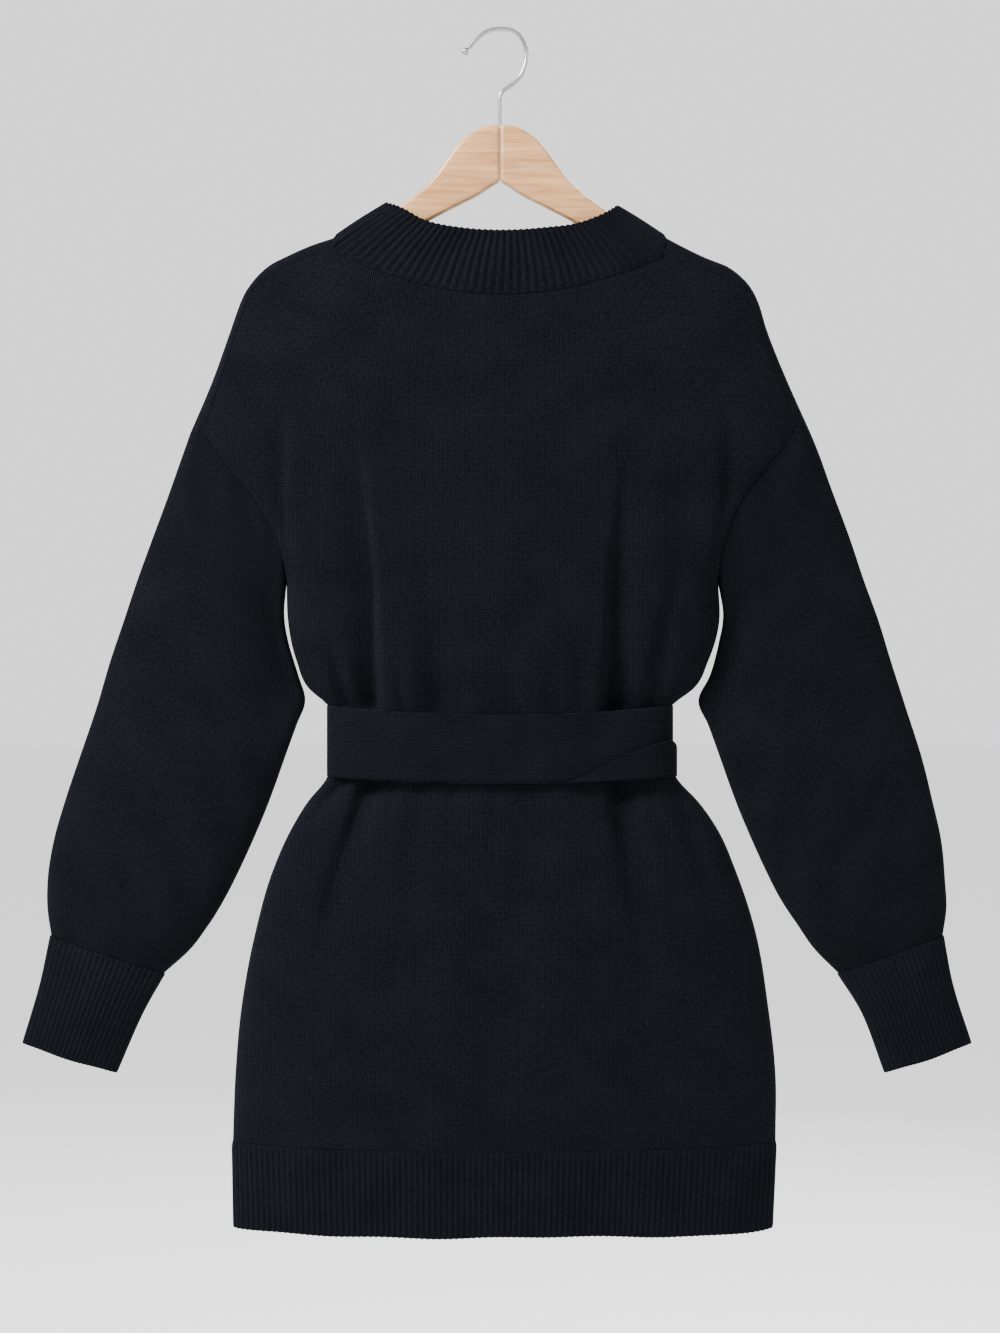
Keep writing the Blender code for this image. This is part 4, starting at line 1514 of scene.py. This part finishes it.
@dataclass
class Belt:
    """The knitted belt, its turned-up lower edge and its lapped end."""

    shown: np.ndarray
    hidden: np.ndarray
    levels: list[Level]
    thick: float = 2.2
    clear: float = 0.8
    layer_clear: float = 0.7
    turn_clear: float = 0.4
    waist_drop: float = 583.0
    half_width: float = 146.0
    top_drop: float = 552.0
    top_sag: float = 8.0
    bottom_drop: float = 611.0
    bottom_sag: float = 5.0
    crown: float = 0.5
    edge_flare: float = 0.6
    side_round: float = 10.0
    steps: int = 480
    rows: int = 16
    turn_span: tuple[int, int] = (164, 241)
    turn_start: float = 0.97
    turn_rise: float = 0.5
    turn_power: float = 1.4
    turn_end: float = 0.14
    lap_span: tuple[int, int] = (336, 405)

    def ring(self, out: float) -> np.ndarray:
        """Finds the waist's narrowest ring and moves it out.

        Args:
            out: how far, in millimetres.

        Returns:
            Its points, level with the origin.
        """
        drops = np.array([level.left[1] for level in self.levels])
        number = int(np.argmin(np.abs(drops - self.waist_drop)))
        waist = resample(np.vstack([self.shown[number], self.hidden[number][::-1][1:-1]]), self.steps)
        waist[:, 2] = 0.0
        ahead = np.roll(waist, -1, axis=0) - np.roll(waist, 1, axis=0)
        outward = np.column_stack([ahead[:, 1], -ahead[:, 0], np.zeros(self.steps)])
        outward /= np.linalg.norm(outward, axis=1)[:, None]
        return waist + outward * out

    def surface(self, ring: np.ndarray, top: np.ndarray, bottom: np.ndarray) -> np.ndarray:
        """Makes the belt's surface between two shares of its height, from 0 at its top edge.

        Args:
            ring: the points round the waist.
            top: the upper share at each of them.
            bottom: the lower share at each of them.

        Returns:
            Rows of points.
        """
        sag = 1 - (ring[:, 0] / self.half_width) ** 2
        upper = self.top_drop + self.top_sag * sag
        lower = self.bottom_drop + self.bottom_sag * sag
        grid = []
        for row in range(self.rows + 1):
            share = top + (bottom - top) * row / self.rows
            line = ring.copy()
            line[:, 2] = -(upper + (lower - upper) * share)
            crown = 1 - (2 * row / self.rows - 1) ** 6
            out = self.crown * crown + self.edge_flare * (2 * share - 1) ** 2
            line[:, 1] += np.sign(line[:, 1]) * out * np.minimum(1, np.abs(line[:, 1]) / self.side_round)
            grid.append(line)
        return np.array(grid)

    @staticmethod
    def cloth_places(grid: np.ndarray, wrap: bool) -> np.ndarray:
        """Lays the cloth map of the belt, whose wales run along it.

        Args:
            grid: the belt's rows.
            wrap: whether they close.

        Returns:
            Each point's place on the cloth.
        """
        line = np.concatenate([grid, grid[:, :1]], axis=1) if wrap else grid
        steps = np.linalg.norm(np.diff(line, axis=1), axis=2).mean(axis=0)
        along = np.concatenate([[0.0], np.cumsum(steps)])
        down = line[:, :, 2]
        return np.stack([down, np.broadcast_to(along, down.shape)], axis=-1)

    def build(self, finish: bpy.types.Material) -> None:
        """Makes the belt, its turned-up edge and its lapped end.

        Args:
            finish: the belt's knit.
        """
        out = self.clear + self.thick
        whole = np.zeros(self.steps)
        self.build_layer("dress_belt", "belt", self.ring(out), whole, finish)
        above = self.ring(out + self.thick + self.layer_clear + self.turn_clear)
        turn = np.arange(*self.turn_span)
        share = (turn - turn[0]) / (turn[-1] - turn[0])
        rise = share ** self.turn_power * (1 + self.turn_power - self.turn_power * share)
        edge = self.turn_start - self.turn_rise * rise
        edge += self.turn_end * np.clip((share - 0.9) / 0.1, 0.0, 1.0) ** 2
        self.build_layer("dress_belt_turn", "belt_turn", above[turn], edge, finish)
        lap = np.arange(*self.lap_span)
        above = self.ring(out + self.thick + self.layer_clear)
        self.build_layer("dress_belt_lap", "belt_lap", above[lap], 0.0 * lap, finish)

    def build_layer(self, name: str, node: str, line: np.ndarray, top: np.ndarray,
                    finish: bpy.types.Material) -> None:
        """Makes the belt or a layer laid on it.

        Args:
            name: the piece's name.
            node: the node that it replaces.
            line: the ring or the part of it that the layer covers.
            top: the share of the belt's height where its upper edge lies.
            finish: the belt's knit.
        """
        wrap = len(line) == self.steps
        grid = self.surface(line, top, np.ones(len(line)))
        patch = Patch.grid(grid, self.cloth_places(grid, wrap), wrap, True)
        layer = Wall(name, patch, self.thick, free=np.arange(len(patch.points))).build(finish)
        declare(layer, node)


@dataclass
class Hanger:
    """The wooden hanger and its wire hook."""

    thick: float = 11.0
    mitre_gap: float = 0.3
    edge_round: float = 3.2
    arm_top: tuple[tuple[float, float], ...] = (
        (6, 77), (16, 79.5), (27, 86), (35, 94), (44, 106), (54, 120), (66, 132),
        (84, 145.5), (106, 160.5), (130, 175), (150, 183.5), (168, 191), (180, 197.5), (185, 205),
    )
    arm_bottom: tuple[tuple[float, float], ...] = (
        (184, 213), (175, 218), (146, 206), (112, 189), (84, 170), (59, 156), (38, 145), (20, 136),
        (6, 127),
    )
    hook_line: tuple[tuple[float, float], ...] = (
        (0.0, 77.1), (0.0, 62.0), (0.6, 51.5), (5.5, 47.0), (11.5, 42.5), (16.6, 36.8),
        (20.0, 30.0), (21.9, 22.0), (21.2, 13.2), (17.0, 4.6), (9.8, -0.6), (0.0, -1.9),
        (-8.6, -0.6), (-16.0, 3.6), (-21.6, 9.0), (-26.0, 14.0),
    )
    wire: float = 3.7
    mitre_top: float = 77.0
    mitre_bottom: float = 124.0
    grain_slope: float = math.radians(-33)
    bevelled_from: float = math.radians(60)
    arm_square: float = math.radians(40)
    hook_square: float = math.radians(50)

    @staticmethod
    def smooth_line(points: Sequence[tuple[float, float]], per_span: int) -> list[tuple[float, float]]:
        """Draws a smooth line through points.

        Args:
            points: the points.
            per_span: steps between each two of them.

        Returns:
            The line's points.
        """
        keys = range(len(points))
        across, down = tracks_through(keys, points, (0, 1))
        steps = per_span * keys[-1]
        return [(across(step / per_span), down(step / per_span)) for step in range(steps + 1)]

    def build_arm(self, hand: Hand) -> None:
        """Makes one arm, rounded along its edges.

        Args:
            hand: which arm.
        """
        middle = self.mitre_gap / 2
        outline = [(middle, self.mitre_top)]
        outline += self.smooth_line(self.arm_top + self.arm_bottom, 3)
        outline += [(middle, self.mitre_bottom)]
        shape = bmesh.new()
        corners = [
            shape.verts.new((hand.value * reach * MM, -self.thick / 2 * MM, -drop * MM))
            for reach, drop in outline
        ]
        face = shape.faces.new(corners)
        pushed = bmesh.ops.extrude_face_region(shape, geom=[face])
        moved = [item for item in pushed["geom"] if isinstance(item, bmesh.types.BMVert)]
        bmesh.ops.translate(shape, verts=moved, vec=Vector((0, self.thick * MM, 0)))
        bmesh.ops.recalc_face_normals(shape, faces=shape.faces)
        name = f"hanger_{hand.word}_arm"
        arm = add_object(name, mesh_from(shape, name))
        soften = arm.modifiers.new("rounded edges", "BEVEL")
        soften.width = self.edge_round * MM
        soften.segments = 5
        soften.limit_method = "ANGLE"
        soften.angle_limit = self.bevelled_from
        arm.data = plain_mesh(arm)
        arm.modifiers.clear()
        finish = WoodFinish(f"hanger wood {hand.word}", hand.value * self.grain_slope).build()
        arm.data.materials.clear()
        arm.data.materials.append(finish)
        smooth(arm.data, self.arm_square)
        declare(arm, f"hanger_arm_{hand.word}")

    def build_hook(self) -> None:
        """Makes the wire hook and the ball on its tip."""
        steel = SteelFinish("hook steel").build()
        wire = bpy.data.curves.new("hanger_hook", "CURVE")
        wire.dimensions = "3D"
        wire.bevel_depth = self.wire / 2 * MM
        wire.bevel_resolution = 6
        wire.use_fill_caps = True
        line = wire.splines.new("POLY")
        points = self.smooth_line(self.hook_line, 6)
        line.points.add(len(points) - 1)
        for point, (x, drop) in zip(line.points, points):
            point.co = (x * MM, 0.0, -drop * MM, 1.0)
        rough = add_object("hook_curve", wire)
        shape = bmesh.new()
        shape.from_mesh(plain_mesh(rough))
        bpy.data.objects.remove(rough)
        bmesh.ops.remove_doubles(shape, verts=shape.verts, dist=NEAR)
        hook = add_object("hanger_hook", mesh_from(shape, "hanger_hook"))
        smooth(hook.data, self.hook_square)
        hook.data.materials.append(steel)
        declare(hook, "hook")
        lowest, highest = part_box("hook_tip")
        centre = [(low + high) / 2 for low, high in zip(lowest, highest)]
        radius = (highest[0] - lowest[0]) / 2
        ball = bmesh.new()
        bmesh.ops.create_uvsphere(ball, u_segments=32, v_segments=20, radius=radius)
        bmesh.ops.translate(ball, verts=ball.verts, vec=Vector(centre))
        tip = add_object("hanger_hook_tip", mesh_from(ball, "hanger_hook_tip"))
        tip.data.shade_smooth()
        tip.data.materials.append(steel)
        declare(tip, "hook_tip")

    def build(self) -> None:
        """Makes the whole hanger."""
        for hand in Hand:
            self.build_arm(hand)
        self.build_hook()


@dataclass
class Studio:
    """The camera, a pale floor and soft light, in metres."""

    camera_distance: float = 2.25
    camera_drop: float = 0.521
    lens: float = 74.1
    sensor: float = 36.0
    floor_drop: float = 1.45
    floor_half: float = 30.0
    floor_colour: Colour = (0.9, 0.9, 0.9, 1.0)
    sky_strength: float = 1.5
    aim: tuple[float, float, float] = (0.0, 0.0, -0.5)
    lamps: tuple[tuple[str, tuple[float, float, float], float, float], ...] = (
        # name, place, size, power
        ("key", (-1.7, -1.1, 1.1), 0.9, 210.0),
        ("fill", (1.8, -1.9, 0.0), 1.6, 20.0),
        ("back", (0.9, 2.2, 0.8), 1.4, 70.0),
    )

    def build(self) -> None:
        """Makes them."""
        lens = bpy.data.cameras.new("camera")
        lens.lens = self.lens
        lens.sensor_width = self.sensor
        camera = add_object("camera", lens)
        camera.location = (0.0, -self.camera_distance, -self.camera_drop)
        camera.rotation_euler = (RIGHT_ANGLE, 0.0, 0.0)
        bpy.context.scene.camera = camera
        self._floor()
        self._world()
        for lamp in self.lamps:
            self._lamp(*lamp)

    def _floor(self) -> None:
        """Lays a wide pale floor well below the dress."""
        shape = bmesh.new()
        bmesh.ops.create_grid(shape, x_segments=1, y_segments=1, size=self.floor_half)
        bmesh.ops.translate(shape, verts=shape.verts, vec=Vector((0, 0, -self.floor_drop)))
        values = {"Base Color": self.floor_colour, "Roughness": 0.9}
        floor = add_object("floor", mesh_from(shape, "floor"))
        floor.data.materials.append(start_finish("pale floor", values)[0])

    def _world(self) -> None:
        """Makes even pale surroundings."""
        world = bpy.data.worlds.new("surroundings")
        world.use_nodes = True
        background = world.node_tree.nodes["Background"]
        background.inputs["Color"].default_value = (1.0, 1.0, 1.0, 1.0)
        background.inputs["Strength"].default_value = self.sky_strength
        bpy.context.scene.world = world

    def _lamp(self, name: str, place: tuple[float, float, float], size: float, power: float) -> None:
        """Hangs one soft square lamp, turned to the middle of the dress.

        Args:
            name: its name.
            place: where it hangs.
            size: its side.
            power: its strength, in watts.
        """
        light = bpy.data.lights.new(name, "AREA")
        light.shape = "SQUARE"
        light.size = size
        light.energy = power
        lamp = add_object(name, light)
        lamp.location = place
        lamp.rotation_euler = (Vector(self.aim) - Vector(place)).to_track_quat("-Z", "Y").to_euler()


def main() -> None:
    """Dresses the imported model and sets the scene."""
    logging.basicConfig(level=logging.INFO, format="%(message)s")
    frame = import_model()
    LOG.info("the frame has %d nodes", len(frame["nodes"]))
    plain = KnitFinish("plain knit", 2.7, 2.2, 1.0).build()
    ribbed = KnitFinish("ribbed knit", 1.7, 2.0, 0.6).build()
    belt_knit = KnitFinish("belt knit", 2.2, 1.8, 0.8).build()
    raiser = RibRaiser("raised ribs")
    body = Body()
    shown, hidden = body.build(plain)
    for hand in Hand:
        Sleeve(hand).build(body, plain, ribbed, raiser)
    Bands(shown, hidden).build(ribbed, raiser)
    Belt(shown, hidden, body.levels).build(belt_knit)
    Hanger().build()
    Studio().build()


if __name__ == "__main__":
    main()
